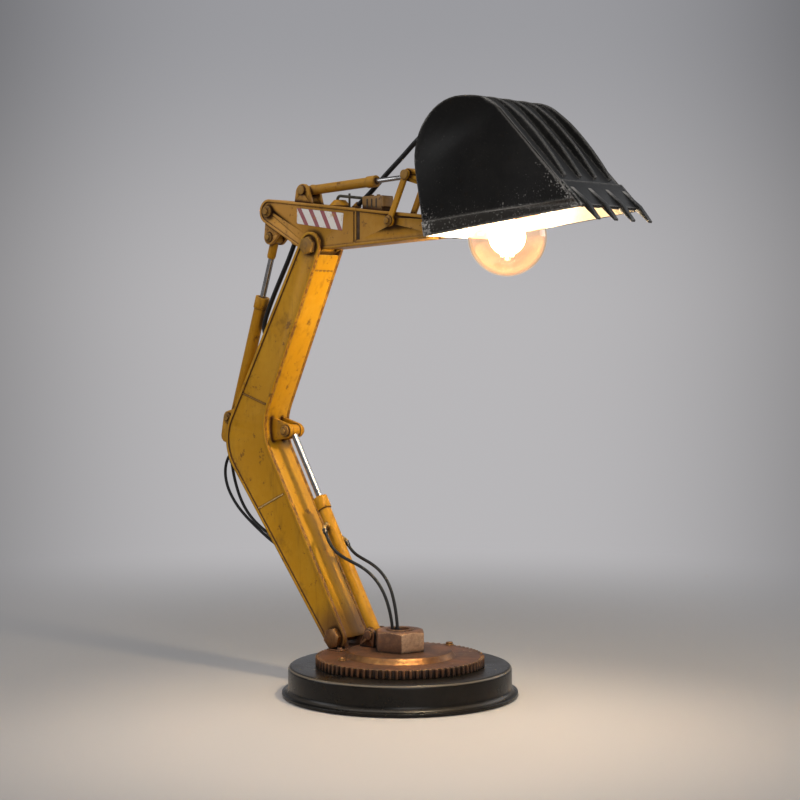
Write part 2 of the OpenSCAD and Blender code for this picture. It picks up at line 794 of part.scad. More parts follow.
module boom_lugs() {
    color(paint) {
        both_sides() slab(ram_lug_in, ram_lug_out) difference() {
            polygon(belt([ball(lift_head, ram_eye_r + 0.8), ball(lift_head + [-26, 13], 0),
                ball(lift_head + [-24, -11], 0)]));
            boom_outline();
            translate(lift_head) circle(r = ram_pin_r + running);
        }
        both_sides() slab(lift_lug_in + 0.2, lift_lug_out + 0.2) difference() {
            polygon(belt([ball(arm_foot, ram_eye_r + 1), ball(arm_foot + [-3.3, -15.3], ram_eye_r + 0.6),
                ball(arm_foot + [16, -24], 0), ball(arm_foot + [20, 12], 0)]));
            boom_outline();
            translate(arm_foot) circle(r = ram_pin_r + running);
        }
    }
}
module boom_ram_pins() {
    color(paint) {
        headed_pin(lift_head, ram_pin_r, ram_lug_out, ram_pin_r + 1.9, 2.4);
        headed_pin(arm_foot, ram_pin_r, lift_lug_out + 0.2, ram_pin_r + 1.6, 1.6);
    }
}
module head_bolt() {
    color(paint) {
        cross_pin(head, main_pin_r, -boom_half, boom_half + 2);
        hex_head(head, 13, -boom_half - 4, -boom_half);
        difference() {
            hex_head(head, 13, boom_half, boom_half + 4);
            cross_pin(head, main_pin_r - running, boom_half - past, boom_half + 3);
        }
    }
}
module rear_hoses() {
    color(black) {
        tube_along(rear_hose_left, hose_d);
        tube_along(rear_hose_right, hose_d);
    }
}
module stick_lead() {
    color(black) tube_along(stick_lead_route, lead_d);
}

// Rams. Each is drawn upright on its foot pin and aimed at its eye
module ram_eye(r, half) {
    rotate([90, 0, 0]) cylinder(r = r, h = 2 * half, center = true);
}
module ram_bore(r, half) {
    rotate([90, 0, 0]) cylinder(r = r, h = 2 * (half + past), center = true);
}
module ram_rod(length, rod_d, tube, bore_r, eye_half, eye_bore) {
    foot_end = tube * 0.5;
    difference() {
        union() {
            translate([0, 0, foot_end]) cylinder(d = rod_d, h = length - foot_end);
            translate([0, 0, foot_end]) cylinder(r = bore_r - running, h = piston_l);
            translate([0, 0, length]) ram_eye(ram_eye_r, eye_half);
        }
        translate([0, 0, length]) ram_bore(eye_bore, eye_half);
    }
}
lift_l = norm(lift_eye - lift_foot);
arm_l = norm(arm_eye - arm_foot);
tip_ram_l = norm(tip_ram_eye - tip_ram_foot);
lift_bore_r = lift_d / 2 - ram_wall;
arm_bore_r = arm_d / 2 - ram_wall;
tip_ram_bore_r = tip_ram_d / 2 - ram_wall * 0.7;
barrel_floor = 12;
arm_collar_l = 10;
tip_ram_collar_l = 9;
piston_l = 8;
port_stand = 6.2;
port_bend = 80;
lift_ports = [[99, -1], [86, 1]];
module lift_barrel() {
    color(paint) aim(lift_foot, lift_eye) difference() {
        union() {
            ram_eye(ram_eye_r, lift_d / 2);
            cylinder(d = lift_d, h = lift_tube);
            for (port = lift_ports) translate([0, 0, port[0]]) rotate([-90 * port[1], 0, 0]) {
                cylinder(d = 5.4, h = port_stand);
                translate([0, 0, port_stand]) rotate([0, 0, 90 * port[1]]) hose_bend(port_bend);
            }
        }
        ram_bore(ram_pin_r + running, lift_d / 2);
        translate([0, 0, barrel_floor]) cylinder(r = lift_bore_r, h = lift_tube);
    }
}
module lift_gland() {
    seat = 4;
    nose = 7;
    color(paint) aim(lift_foot, lift_eye) translate([0, 0, lift_tube - seat]) difference() {
        cylinder(d = lift_d + 1.8, h = seat + nose);
        translate([0, 0, -past]) cylinder(d = lift_d + 2 * running, h = seat + past);
        translate([0, 0, -past]) cylinder(d = lift_rod_d + 2 * running, h = seat + nose + 2 * past);
    }
}
module lift_rod() {
    color(bright) aim(lift_foot, lift_eye)
        ram_rod(lift_l, lift_rod_d, lift_tube, lift_bore_r, ram_eye_half, ram_pin_r + lift_slack);
}
module front_hoses() {
    color(black) {
        tube_along(front_hose_left, hose_d);
        tube_along(front_hose_right, hose_d);
    }
}
module headed_barrel(d, rod_d, tube, bore_r, eye_half, pin_r, head_l) {
    difference() {
        union() {
            ram_eye(ram_eye_r * d / lift_d, eye_half);
            cylinder(d = d, h = tube);
            translate([0, 0, tube - head_l]) cylinder(d = d + 1.6, h = head_l);
        }
        ram_bore(pin_r + running, eye_half);
        translate([0, 0, barrel_floor]) cylinder(r = bore_r, h = tube - barrel_floor - head_l / 2);
        translate([0, 0, barrel_floor]) cylinder(d = rod_d + 2 * running, h = tube);
    }
}
module arm_barrel() {
    color(paint) aim(arm_foot, arm_eye)
        headed_barrel(arm_d, arm_rod_d, arm_tube, arm_bore_r, lift_d / 2, ram_pin_r, arm_collar_l);
}
module arm_rod() {
    color(bright) aim(arm_foot, arm_eye)
        ram_rod(arm_l, arm_rod_d, arm_tube, arm_bore_r, ram_eye_half, ram_pin_r + arm_slack);
}
module tip_ram_barrel() {
    color(paint) aim(tip_ram_foot, tip_ram_eye)
        headed_barrel(tip_ram_d, tip_ram_rod_d, tip_ram_tube, tip_ram_bore_r, ram_eye_half,
            tip_ram_pin_d / 2, tip_ram_collar_l);
}
module tip_ram_rod() {
    color(bright) aim(tip_ram_foot, tip_ram_eye)
        ram_rod(tip_ram_l, tip_ram_rod_d, tip_ram_tube, tip_ram_bore_r, ram_eye_half,
            ram_pin_r + tip_ram_slack);
}

// Stick
groove_x = head[0] + 46;
module stick_outline() {
    polygon(belt(stick_circles));
}
module stick_core() {
    polygon(belt(shrink(stick_circles, stick_skin)));
}
module stick_side_plate() {
    color(paint) difference() {
        union() {
            slab(stick_inside, stick_web_out) stick_outline();
            slab(stick_web_out, stick_half) difference() {
                stick_outline();
                stick_core();
            }
        }
        cross_pin(head, main_bush_r + running, stick_inside - past, stick_half + past);
        cross_pin(tip, tip_bush_r + running, stick_inside - past, stick_half + past);
        cross_pin(link_root, ram_pin_r + running, stick_inside - past, stick_half + past);
        cross_pin(rear_boss, ram_pin_r + running, stick_inside - past, stick_half + past);
        slab(stick_web_out - groove_depth, stick_half + past)
            translate([groove_x, head[1] + 2]) square([groove_w, 24]);
    }
}
module stick_left_plate() {
    mirror([0, 1, 0]) stick_side_plate();
}
module stick_right_plate() {
    stick_side_plate();
}
module stick_strip() {
    difference() {
        stick_outline();
        stick_core();
    }
}
// Directions out of the stick's top face and of the face below its rear boss
top_normal = belt_normal(stick_circles[2], stick_circles[3]);
rear_normal = belt_normal(stick_circles[3], stick_circles[0]);
lead_out = tip + tip_r * polar(top_normal) + 104.2 * polar(top_normal + 90);
lead_in = rear_boss + rear_boss_r * polar(rear_normal) + 31.6 * polar(rear_normal + 90);
lead_lean = 34;
module stick_top_plate() {
    color(paint) {
        slab(-stick_inside, stick_inside) intersection() {
            stick_strip();
            polygon([head + [-14, 4], tip + [-12, 0], tip + [-12, 60],
                rear_boss + [0, 60], rear_boss + [-60, 0],
                head + [-60, -20], head + [-14, -8]]);
        }
        difference() {
            union() {
                gland(lead_out, lead_lean, lead_y, lead_gland_d);
                gland(lead_in, rear_normal, 0, lead_gland_d);
            }
            slab(-stick_half, stick_half) stick_outline();
        }
    }
}
module stick_bottom_plate() {
    color(paint) slab(-stick_inside, stick_inside) intersection() {
        stick_strip();
        polygon([head + [16, 6], head + [16, -30], tip + [-12, -30], tip + [-12, 0]]);
    }
}
head_bush_half = boom_inside - 0.3;
tip_bush_half = ear_in - 0.3;
module stick_bushes() {
    color(bright) {
        difference() {
            cross_pin(head, main_bush_r, -head_bush_half, head_bush_half);
            cross_pin(head, main_pin_r + running, -head_bush_half - past, head_bush_half + past);
        }
        difference() {
            cross_pin(tip, tip_bush_r, -tip_bush_half, tip_bush_half);
            cross_pin(tip, tip_pin_r + running, -tip_bush_half - past, tip_bush_half + past);
        }
    }
}
module stick_lugs() {
    color(paint) {
        both_sides() slab(ram_lug_in, ram_lug_out) difference() {
            polygon(belt([ball(arm_head, ram_eye_r + 1), ball(rear_boss + [18, -12], 0),
                ball(rear_boss + [-6, -2], 0)]));
            stick_outline();
            translate(arm_head) circle(r = ram_pin_r + running);
        }
        both_sides() slab(ram_lug_in, ram_lug_out) difference() {
            polygon(belt([ball(tip_ram_foot + [-9.8, -14], 0), ball(tip_ram_foot + [11.5, -14], 0),
                ball(tip_ram_foot + [0, -2.4], 7.8)]));
            stick_outline();
            translate(tip_ram_foot) circle(r = tip_ram_pin_d / 2 + running);
        }
    }
}
module stick_pins() {
    color(paint) {
        headed_pin(arm_head, ram_pin_r, ram_lug_out, ram_pin_r + 1.4, 1.4);
        headed_pin(tip_ram_foot, tip_ram_pin_d / 2, ram_lug_out, tip_ram_pin_d / 2 + 1.6, 2);
        headed_pin(link_root, ram_pin_r, link_out, ram_pin_r + 1.2, 1.6);
        headed_pin(rear_boss, ram_pin_r, stick_half, ram_pin_r + 2.2, 2.4);
    }
}
valve_rear = head[0] + 53;
valve_l = 22;
valve_top = head[1] + 38.5;
module valve_block() {
    half = 6.5;
    color("olive") {
        slab(-half, half) difference() {
            translate([valve_rear, head[1] + 10]) square([valve_l, valve_top - head[1] - 10]);
            stick_outline();
        }
        slab(-half - 1, half - 2) translate([valve_rear + valve_l, valve_top - 9]) square([2, 8]);
        for (x = [5, 12]) translate([valve_rear + x, 0, valve_top]) cylinder(d = 3.4, h = 1.4, $fn = 6);
    }
}
module valve_pipe() {
    pipe_d = 2.4;
    pipe_y = -3;
    bend_r = 3.4;
    fall = 6.5;
    rise_x = valve_rear - 31.5;
    stub_x = valve_rear - 17.7;
    dome_x = valve_rear - 31.7;
    dome_r = 9;
    sunk = head[1] + 20;
    dome_waist = head[1] + 32.6;
    run_x = rise_x + bend_r * (1 + sin(fall));
    run_l = (valve_rear - run_x) / cos(fall);
    run_z = valve_top - 1.4 + run_l * sin(fall);
    bend_z = run_z - bend_r * cos(fall);
    color("dimgray") difference() {
        union() {
            translate([rise_x, pipe_y, sunk]) cylinder(d = pipe_d, h = bend_z - sunk);
            translate([rise_x + bend_r, pipe_y, bend_z]) rotate([90, 0, 0]) rotate([0, 0, 90 - fall])
                rotate_extrude(angle = 90 + fall) translate([bend_r, 0]) circle(d = pipe_d, $fn = 24);
            translate([run_x, pipe_y, run_z]) rotate([0, 90 + fall, 0])
                cylinder(d = pipe_d, h = run_l);
            translate([stub_x, pipe_y, sunk]) cylinder(d = 1.8, h = run_z + 1.6 - sunk);
            translate([dome_x, 0, sunk]) cylinder(r = dome_r, h = dome_waist - sunk);
            translate([dome_x, 0, dome_waist]) cylinder(r1 = dome_r, r2 = 4.8, h = 4.6);
        }
        slab(-stick_half, stick_half) stick_outline();
        slab(-stick_half, stick_half) translate([valve_rear, sunk]) square([valve_l, 40]);
    }
}
module lamp_lead() {
    color(black) tube_along(lamp_lead_route, lead_d);
}

// Bucket's linkage
module side_links() {
    link_bar_half = 2.5;
    color(paint) both_sides() slab(link_in, link_out) difference() {
        union() {
            polygon(belt([ball(link_root, link_bar_half), ball(link_head, link_bar_half)]));
            translate(link_root) circle(r = 4.6);
            translate(link_head) circle(r = 3.9);
        }
        translate(link_root) circle(r = ram_pin_r + running);
        translate(link_head) circle(r = ram_pin_r + running);
    }
}
module link_pin() {
    color(paint) headed_pin(link_head, ram_pin_r, link_out, ram_pin_r + 1.2, 1.4);
}
module bucket_link() {
    link_eye_r = 4.2;
    cheek_in = ram_eye_half + side_gap;
    cheek_out = stick_half - 0.2;
    along = unit(bucket_link_eye - link_head);
    color(paint) difference() {
        union() {
            both_sides() slab(cheek_in, cheek_out)
                polygon(belt([ball(link_head, 5), ball(bucket_link_eye, link_eye_r)]));
            slab(-cheek_out, cheek_out)
                polygon(belt([ball(link_head + 11 * along, 3.4), ball(bucket_link_eye - 7 * along, 3.4)]));
        }
        cross_pin(link_head, ram_pin_r + running, -cheek_out - past, cheek_out + past);
        cross_pin(bucket_link_eye, ram_pin_r + link_slack, -cheek_out - past, cheek_out + past);
    }
}

// Bucket
module bucket_outline() {
    polygon(belt(bucket_circles));
}
module bucket_hollow() {
    below = 20;
    back_in = back_lip - bucket_sheet * polar(back_normal) + below * polar(back_normal + 90);
    front_in = front_lip - bucket_sheet * front_out - below * front_up;
    polygon(belt([ball(back_in, 0), ball(front_in, 0), ball(crown_front, bucket_r - bucket_sheet),
        ball(crown_back, bucket_r - bucket_sheet)]));
}
gland_turn = 145;
lead_mouth = crown_back + bucket_r * polar(gland_turn);
module bucket_shell() {
    color(shade_paint) {
        slab(-bucket_in, bucket_in) difference() {
            bucket_outline();
            bucket_hollow();
        }
        difference() {
            gland(lead_mouth, gland_turn, lead_y, lead_gland_d + 1);
            slab(-bucket_in, bucket_in) bucket_hollow();
        }
    }
}
module wear_strip_outline() {
    back_up = back_lip - wear_strip_back * polar(back_normal + 90);
    front_top = front_lip + wear_strip_front * front_up;
    polygon([back_lip, front_lip, front_top, back_up]);
}
module bucket_side() {
    color(shade_paint) {
        slab(bucket_in, bucket_half) bucket_outline();
        slab(bucket_half, bucket_half + wear_strip_h) intersection() {
            bucket_outline();
            wear_strip_outline();
        }
    }
}
module bucket_left_side() {
    mirror([0, 1, 0]) bucket_side();
}
module bucket_right_side() {
    bucket_side();
}
lip_l = 27.5;
lip_h = 1.8;
module bucket_ribs() {
    rib_end = lip_l + 3.7;
    ramp_turn = 76.5;
    ramp_rise = 6;
    outer = [ball(back_lip, 0), ball(front_lip + rib_h * front_out, 0), ball(crown_front, bucket_r + rib_h),
        ball(crown_back, bucket_r + rib_h)];
    start = front_lip + rib_end * front_up;
    ramp = crown_front + bucket_r * polar(ramp_turn);
    color(shade_paint) for (i = [0:rib_count - 1]) {
        y = (i - (rib_count - 1) / 2) * rib_pitch;
        slab(y - rib_t / 2, y + rib_t / 2) intersection() {
            difference() {
                polygon(belt(outer));
                bucket_outline();
            }
            polygon([start - 20 * front_out, start + 20 * front_out,
                ramp + 60 * polar(ramp_turn - 90 + ramp_rise), ramp, crown_front]);
        }
    }
}
module bucket_lip() {
    color(shade_paint) slab(-bucket_half, bucket_half) polygon([
        front_lip, front_lip + lip_h * front_out, front_lip + lip_h * front_out + (lip_l - 1) * front_up,
        front_lip + lip_l * front_up]);
}
module bucket_claws() {
    root = 19;
    knee = 2.6;
    tip_low = -0.3;
    tip_high = 1.1;
    crest = front_lip + lip_h * front_out;
    claw = [
        crest + root * front_up, crest, front_lip,
        crest - claw_reach * front_up + tip_low * front_out,
        crest - (claw_reach - 0.6) * front_up + tip_high * front_out,
        crest + knee * front_out
    ];
    color(shade_paint) for (i = [0:claw_count - 1]) {
        y = (i - (claw_count - 1) / 2) * claw_pitch;
        slab(y - claw_w / 2, y + claw_w / 2) polygon(claw);
    }
}
module bucket_ears() {
    color(shade_paint) both_sides() slab(ear_in, ear_out) difference() {
        polygon(belt([ball(tip, tip_r + 0.6), ball(tip + [16, -6], 0), ball(tip + [16, 44], 0),
            ball(bucket_pivot, 6)]));
        bucket_outline();
        translate(tip) circle(r = tip_pin_r + running);
        translate(bucket_pivot) circle(r = ram_pin_r + running);
    }
}
module bucket_pins() {
    color(shade_paint) {
        headed_pin(tip, tip_pin_r, ear_out, tip_pin_r + 1.6, 2);
        headed_pin(bucket_pivot, ram_pin_r, ear_out, ram_pin_r + 1.2, 1.6);
    }
}

// Where a gland or a port lets its hose out, and which way
function gland_mouth(p, normal, y, turn = 0) =
    let (side = polar(normal + 90 * sign(turn)))
    let (reach = gland_l + hose_bend_r * sin(abs(turn)))
    let (q = p + reach * polar(normal) + hose_bend_r * (1 - cos(turn)) * side)
    let (way = polar(normal + turn))
    [[q[0], y, q[1]], [way[0], 0, way[1]]];
function port_mouth(port) =
    let (along = unit(lift_eye - lift_foot))
    let (q = lift_foot + (port[0] - hose_bend_r * (1 - cos(port_bend))) * along)
    let (back = -sin(port_bend) * along)
    [[q[0], port[1] * (port_stand + hose_bend_r * sin(port_bend)), q[1]],
        [back[0], port[1] * cos(port_bend), back[1]]];
hose_clear = 0.02;
hose_straight = 4;
function leave(mouth) = [mouth[0] + hose_clear * mouth[1], mouth[0] + hose_straight * mouth[1]];
function arrive(mouth) = [mouth[0] + hose_straight * mouth[1], mouth[0] + hose_clear * mouth[1]];

// Routes of the hoses and leads, from one mouth to the other
front_hose_left = concat(leave(port_mouth(lift_ports[0])), [
    [-69.6, -10.5, 117.9], [-63.4, -10.4, 111.6], [-55, -9.5, 107], [-45.5, -8.5, 103.9],
    [-35.8, -7.5, 100.6], [-26.5, -6.6, 95.8], [-18.5, -5.7, 88.9], [-12.5, -4.9, 80.3],
    [-8.9, -4.1, 71], [-6.7, -3.5, 62.5]
], arrive([[-5.4, -3, hose_floor], [0, 0, 1]]));
front_hose_right = concat(leave(port_mouth(lift_ports[1])), [
    [-62.9, 10.4, 109.1], [-55.4, 9.8, 105.8], [-45.5, 8.6, 103.3], [-36, 7.5, 100.4], [-27, 6.6, 96],
    [-19.3, 5.8, 89.5], [-13.6, 5, 81], [-9.8, 4.2, 71.5], [-7.3, 3.6, 63]
], arrive([[-5.5, 3, hose_floor], [0, 0, 1]]));
rear_hose_left = concat(leave(gland_mouth(upper_left, upper_left_turn, rear_left_y, upper_bend)),
    in_plane(rear_left_y, [
        [-191.9, 168.5], [-188, 157], [-182.6, 146.2], [-175.3, 136.6], [-166.4, 129.2], [-157, 123.6]
    ]), arrive(gland_mouth(lower_left, back_normal_low, rear_left_y, lower_bend)));
rear_hose_right = concat(leave(gland_mouth(upper_right, upper_right_turn, rear_right_y)),
    in_plane(rear_right_y, [
        [-204.4, 184.3], [-209, 178.4], [-211.2, 170.9], [-210.9, 163.3], [-208.3, 155.4], [-203, 147],
        [-194.5, 138], [-183.6, 129.9], [-171.8, 122.6], [-159.5, 115.4], [-147, 109.2]
    ]), arrive(gland_mouth(lower_right, back_normal_low, rear_right_y, lower_bend)));
stick_lead_route = concat(leave(gland_mouth(stick_lead_foot, back_normal_high, 0)),
    in_plane(0, [
        [-157.7, 291.5], [-157.8, 297.5], [-154.4, 306], [-146.5, 321], [-136.5, 337.5], [-127.8, 351.5]
    ]), arrive(gland_mouth(lead_in, rear_normal, 0)));
lamp_lead_route = concat(leave(gland_mouth(lead_out, lead_lean, lead_y)),
    in_plane(lead_y, [
        [-43.5, 401.6], [-37, 406.2], [-30, 411.9], [-22.3, 418], [-11.5, 426], [-1.8, 433], [11, 443.4],
        [25, 452.4], [36, 458], [43.5, 458.8]
    ]), arrive(gland_mouth(lead_mouth, gland_turn, lead_y)));

// Lamp
module lamp_holder() {
    stem_r = 7;
    color(black) difference() {
        union() {
            translate([bulb[0], 0, holder_bottom]) cylinder(d = holder_d, h = holder_top - holder_bottom);
            intersection() {
                translate([bulb[0], 0, holder_top - 2]) cylinder(r = stem_r, h = 40);
                slab(-bucket_in, bucket_in) bucket_hollow();
            }
        }
        translate([bulb[0], 0, holder_bottom - past])
            cylinder(r = holder_cup_r, h = bulb_top - holder_bottom + past);
    }
}
module bulb_cap() {
    contact_h = 3;
    color(bright) translate([bulb[0], 0, cap_bottom]) rotate_extrude() polygon([
        [0, cap_l], [5, cap_l], [6, cap_l - contact_h], [cap_d / 2, cap_l - contact_h - 2], [cap_d / 2, 0],
        [0, 0]]);
}
// Outline of the globe and its neck, r and z from the globe's centre
function globe(r, neck, top) =
    let (slope = 38)
    concat([for (a = [-90:arc_step:slope]) r * polar(a)], [[neck, top - 6], [neck, top]]);
module bulb_glass() {
    neck_top = cap_bottom - bulb[1];
    outer = globe(bulb_r, neck_r, neck_top);
    inner = globe(bulb_r - glass_t, neck_r - glass_t, neck_top - glass_t);
    color("orange", 0.5) translate([bulb[0], 0, bulb[1]]) rotate_extrude() polygon(concat(
        outer, [[0, neck_top]], [[0, neck_top - glass_t]], [for (i = [len(inner) - 1:-1:0]) inner[i]]));
}
module bulb_filament() {
    stem_top = cap_bottom - glass_t;
    ring_r = 8;
    strand_l = 30;
    strand_top = bulb[1] + strand_l / 2;
    color("gold") translate([bulb[0], 0, 0]) {
        translate([0, 0, strand_top]) cylinder(r1 = 4, r2 = 8, h = stem_top - strand_top);
        translate([0, 0, bulb[1] - strand_l / 2]) cylinder(r = 1.2, h = strand_l + 2);
        for (turn = [45:90:315]) rotate([0, 0, turn]) {
            translate([ring_r, 0, bulb[1] - strand_l / 2]) cylinder(r = 0.9, h = strand_l);
            for (z = [bulb[1] - strand_l / 2 + 0.9, strand_top - 0.9]) translate([0, 0, z]) rotate([0, 90, 0])
                cylinder(r = 0.6, h = ring_r);
        }
    }
}

base_shell();
floor_pad();
bottom_plate();
bottom_screws();
ballast_ring();
slew_bush();
cord_grommet();
switch_body();
switch_button();
slew_gear();
centre_nut();
spindle_tube();
spindle_lock_nut();
foot_bracket();
foot_bolt();
lift_bracket();
lift_foot_pin();
boom_left_plate();
boom_right_plate();
boom_front_plate();
boom_back_plate();
boom_foot_bush();
boom_lugs();
boom_ram_pins();
head_bolt();
rear_hoses();
stick_lead();
lift_barrel();
lift_gland();
lift_rod();
front_hoses();
arm_barrel();
arm_rod();
stick_left_plate();
stick_right_plate();
stick_top_plate();
stick_bottom_plate();
stick_bushes();
stick_lugs();
stick_pins();
valve_block();
valve_pipe();
lamp_lead();
tip_ram_barrel();
tip_ram_rod();
side_links();
link_pin();
bucket_link();
bucket_shell();
bucket_left_side();
bucket_right_side();
bucket_ribs();
bucket_lip();
bucket_claws();
bucket_ears();
bucket_pins();
lamp_holder();
bulb_cap();
bulb_glass();
bulb_filament();
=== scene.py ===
import json
import math

import bmesh
import bpy
from mathutils import Matrix, Vector
from mathutils.bvhtree import BVHTree

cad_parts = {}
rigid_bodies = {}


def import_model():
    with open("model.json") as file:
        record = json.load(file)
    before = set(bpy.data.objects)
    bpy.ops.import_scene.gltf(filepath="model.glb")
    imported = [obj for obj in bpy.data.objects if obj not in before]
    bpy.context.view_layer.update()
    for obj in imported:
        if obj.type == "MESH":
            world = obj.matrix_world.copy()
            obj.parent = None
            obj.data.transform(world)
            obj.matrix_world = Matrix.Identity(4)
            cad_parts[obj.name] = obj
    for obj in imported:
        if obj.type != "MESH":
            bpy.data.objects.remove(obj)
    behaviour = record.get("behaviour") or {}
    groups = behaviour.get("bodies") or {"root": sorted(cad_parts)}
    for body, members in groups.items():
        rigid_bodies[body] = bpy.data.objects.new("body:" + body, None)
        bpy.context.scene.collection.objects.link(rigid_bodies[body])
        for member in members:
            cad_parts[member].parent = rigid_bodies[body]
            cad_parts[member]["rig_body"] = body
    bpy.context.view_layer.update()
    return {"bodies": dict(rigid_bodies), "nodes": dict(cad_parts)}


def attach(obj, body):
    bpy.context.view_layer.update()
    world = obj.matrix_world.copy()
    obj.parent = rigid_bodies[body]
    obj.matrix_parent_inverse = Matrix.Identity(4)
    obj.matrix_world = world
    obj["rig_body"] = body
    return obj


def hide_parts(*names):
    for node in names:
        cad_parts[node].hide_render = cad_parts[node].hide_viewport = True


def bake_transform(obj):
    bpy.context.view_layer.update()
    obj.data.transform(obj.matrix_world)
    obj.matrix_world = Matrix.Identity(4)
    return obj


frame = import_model()
scene = bpy.context.scene
scene.view_settings.view_transform = "Standard"
mm = 0.001
print("frame loaded with", len(frame["nodes"]), "nodes")

# camera at the photograph's place: azimuth from the front, tilt down, distance and height in metres
photoView = {"azimuth": 42.5, "tilt": -2.33, "reach": 1.508, "height": 0.2985, "lens": 84.8, "sensor": 36}


def addCamera(view):
    turn = math.radians(view["azimuth"])
    data = bpy.data.cameras.new("photoCamera")
    data.lens = view["lens"]
    data.sensor_width = view["sensor"]
    camera = bpy.data.objects.new("photoCamera", data)
    camera.location = (view["reach"] * math.sin(turn), -view["reach"] * math.cos(turn), view["height"])
    camera.rotation_euler = (math.radians(90 + view["tilt"]), 0, turn)
    scene.collection.objects.link(camera)
    scene.camera = camera


addCamera(photoView)
print("camera set")


# small helpers for shader trees
def put(tree, kind, inputs=None, **settings):
    item = tree.nodes.new("ShaderNode" + kind)
    for key, value in settings.items():
        setattr(item, key, value)
    for key, value in (inputs or {}).items():
        if isinstance(value, bpy.types.NodeSocket):
            tree.links.new(value, item.inputs[key])
        else:
            item.inputs[key].default_value = value
    return item


def treeOf(*values):
    return next(value.id_data for value in values if isinstance(value, bpy.types.NodeSocket))


def calc(operation, a, b=0.0):
    return put(treeOf(a, b), "Math", {0: a, 1: b}, operation=operation).outputs[0]


def times(a, b):
    return calc("MULTIPLY", a, b)


def plus(a, b):
    return calc("ADD", a, b)


def minus(a, b):
    return calc("SUBTRACT", a, b)


def ramp(value, low, high, start=0.0, end=1.0):
    inputs = {"Value": value, "From Min": low, "From Max": high, "To Min": start, "To Max": end}
    return put(value.id_data, "MapRange", inputs, interpolation_type="SMOOTHSTEP").outputs[0]


def blendColour(amount, a, b):
    a, b = [c if isinstance(c, bpy.types.NodeSocket) else (*c, 1) for c in (a, b)]
    return put(amount.id_data, "Mix", {0: amount, 6: a, 7: b}, data_type="RGBA").outputs[2]


def grainNoise(tree, scale, detail=5.0, rough=0.6, stretch=None):
    place = put(tree, "TexCoord").outputs["Object"]
    if stretch:
        place = put(tree, "Mapping", {"Vector": place, "Scale": stretch}).outputs[0]
    inputs = {"Vector": place, "Scale": scale, "Detail": detail, "Roughness": rough}
    return put(tree, "TexNoise", inputs).outputs[0]


# one colour laid over another through a mask
def layer(colour, mask, share, top):
    return blendColour(times(mask, share), colour, top)


def feed(shader, socket, value):
    shader.id_data.links.new(value, shader.inputs[socket])


def restPlace(tree):
    return put(tree, "SeparateXYZ", {0: put(tree, "TexCoord").outputs["Object"]}).outputs


def dotOf(a, b):
    return put(a.id_data, "VectorMath", {0: a, 1: b}, operation="DOT_PRODUCT").outputs["Value"]


# how squarely the surface at rest faces one way
def facingTo(tree, way):
    return dotOf(put(tree, "TexCoord").outputs["Normal"], way)


def startGroup(name, inputs, outputs):
    tree = bpy.data.node_groups.new(name, "ShaderNodeTree")
    for label, value in inputs.items():
        socket = tree.interface.new_socket(name=label, in_out="INPUT", socket_type="NodeSocketFloat")
        socket.default_value = value
    for label in outputs:
        kind = "NodeSocketVector" if label == "normal" else "NodeSocketFloat"
        tree.interface.new_socket(name=label, in_out="OUTPUT", socket_type=kind)
    return tree, tree.nodes.new("NodeGroupInput").outputs, tree.nodes.new("NodeGroupOutput").inputs


def useGroup(tree, name, **values):
    item = put(tree, "Group", node_tree=bpy.data.node_groups[name])
    for key, value in values.items():
        item.inputs[key].default_value = value
    return item.outputs


def maskOf(tree, name, **values):
    return useGroup(tree, name, **values)["mask"]


# rubbed edges: strong at a corner, fading over the radius, broken up by grain
def buildRubbedEdge():
    tree, given, out = startGroup(
        "rubbedEdge", {"radius": 0.0008, "gain": 3.0, "grainScale": 400.0, "grainAmount": 0.8},
        ["mask", "normal"])
    rounded = put(tree, "Bevel", {"Radius": given["radius"]}, samples=6).outputs[0]
    flat = put(tree, "NewGeometry").outputs["Normal"]
    bend = times(minus(1.0, dotOf(rounded, flat)), given["gain"])
    grain = minus(grainNoise(tree, given["grainScale"], detail=6.0, rough=0.7), 0.5)
    worn = plus(bend, times(grain, given["grainAmount"]))
    tree.links.new(ramp(worn, 0.3, 0.55), out["mask"])
    tree.links.new(rounded, out["normal"])


# painted shade in corners and under laps, darker where a point is more closed in; it stands also for the dirt
# that gathers there
def buildCornerShadeAndDirt():
    tree, given, out = startGroup(
        "cornerShadeAndDirt", {"distance": 0.006, "gain": 1.6, "grainScale": 120.0, "grainAmount": 0.6},
        ["mask"])
    clear = put(tree, "AmbientOcclusion", {"Distance": given["distance"]}, samples=8).outputs["AO"]
    shut = times(minus(1.0, clear), given["gain"])
    grain = minus(grainNoise(tree, given["grainScale"]), 0.5)
    shadeAndDirtLevel = plus(shut, times(grain, given["grainAmount"]))
    tree.links.new(ramp(shadeAndDirtLevel, 0.2, 0.9), out["mask"])


# soft patches of another shade, large and small together
def buildPatches():
    tree, given, out = startGroup("patches", {"scale": 25.0, "low": 0.4, "high": 0.65}, ["mask"])
    large = grainNoise(tree, given["scale"], detail=4.0, rough=0.55)
    small = grainNoise(tree, times(given["scale"], 7.0), detail=6.0, rough=0.65)
    both = plus(times(large, 0.65), times(small, 0.35))
    tree.links.new(ramp(both, given["low"], given["high"]), out["mask"])


# runs of grime down the upright faces
def buildStreaks():
    tree, given, out = startGroup("streaks", {"scale": 160.0, "low": 0.55, "high": 0.8}, ["mask"])
    runs = grainNoise(tree, given["scale"], detail=4.0, stretch=(1.0, 1.0, 0.12))
    tree.links.new(ramp(runs, given["low"], given["high"]), out["mask"])


# pitted surface for bump
def buildPitting():
    tree, given, out = startGroup("pitting", {"scale": 600.0}, ["height"])
    fine = grainNoise(tree, given["scale"], detail=4.0)
    broad = grainNoise(tree, times(given["scale"], 0.12), detail=3.0, rough=0.5)
    tree.links.new(plus(times(fine, 0.5), broad), out["height"])


buildRubbedEdge()
buildCornerShadeAndDirt()
buildPatches()
buildStreaks()
buildPitting()
print("shader groups ready:", len(bpy.data.node_groups))


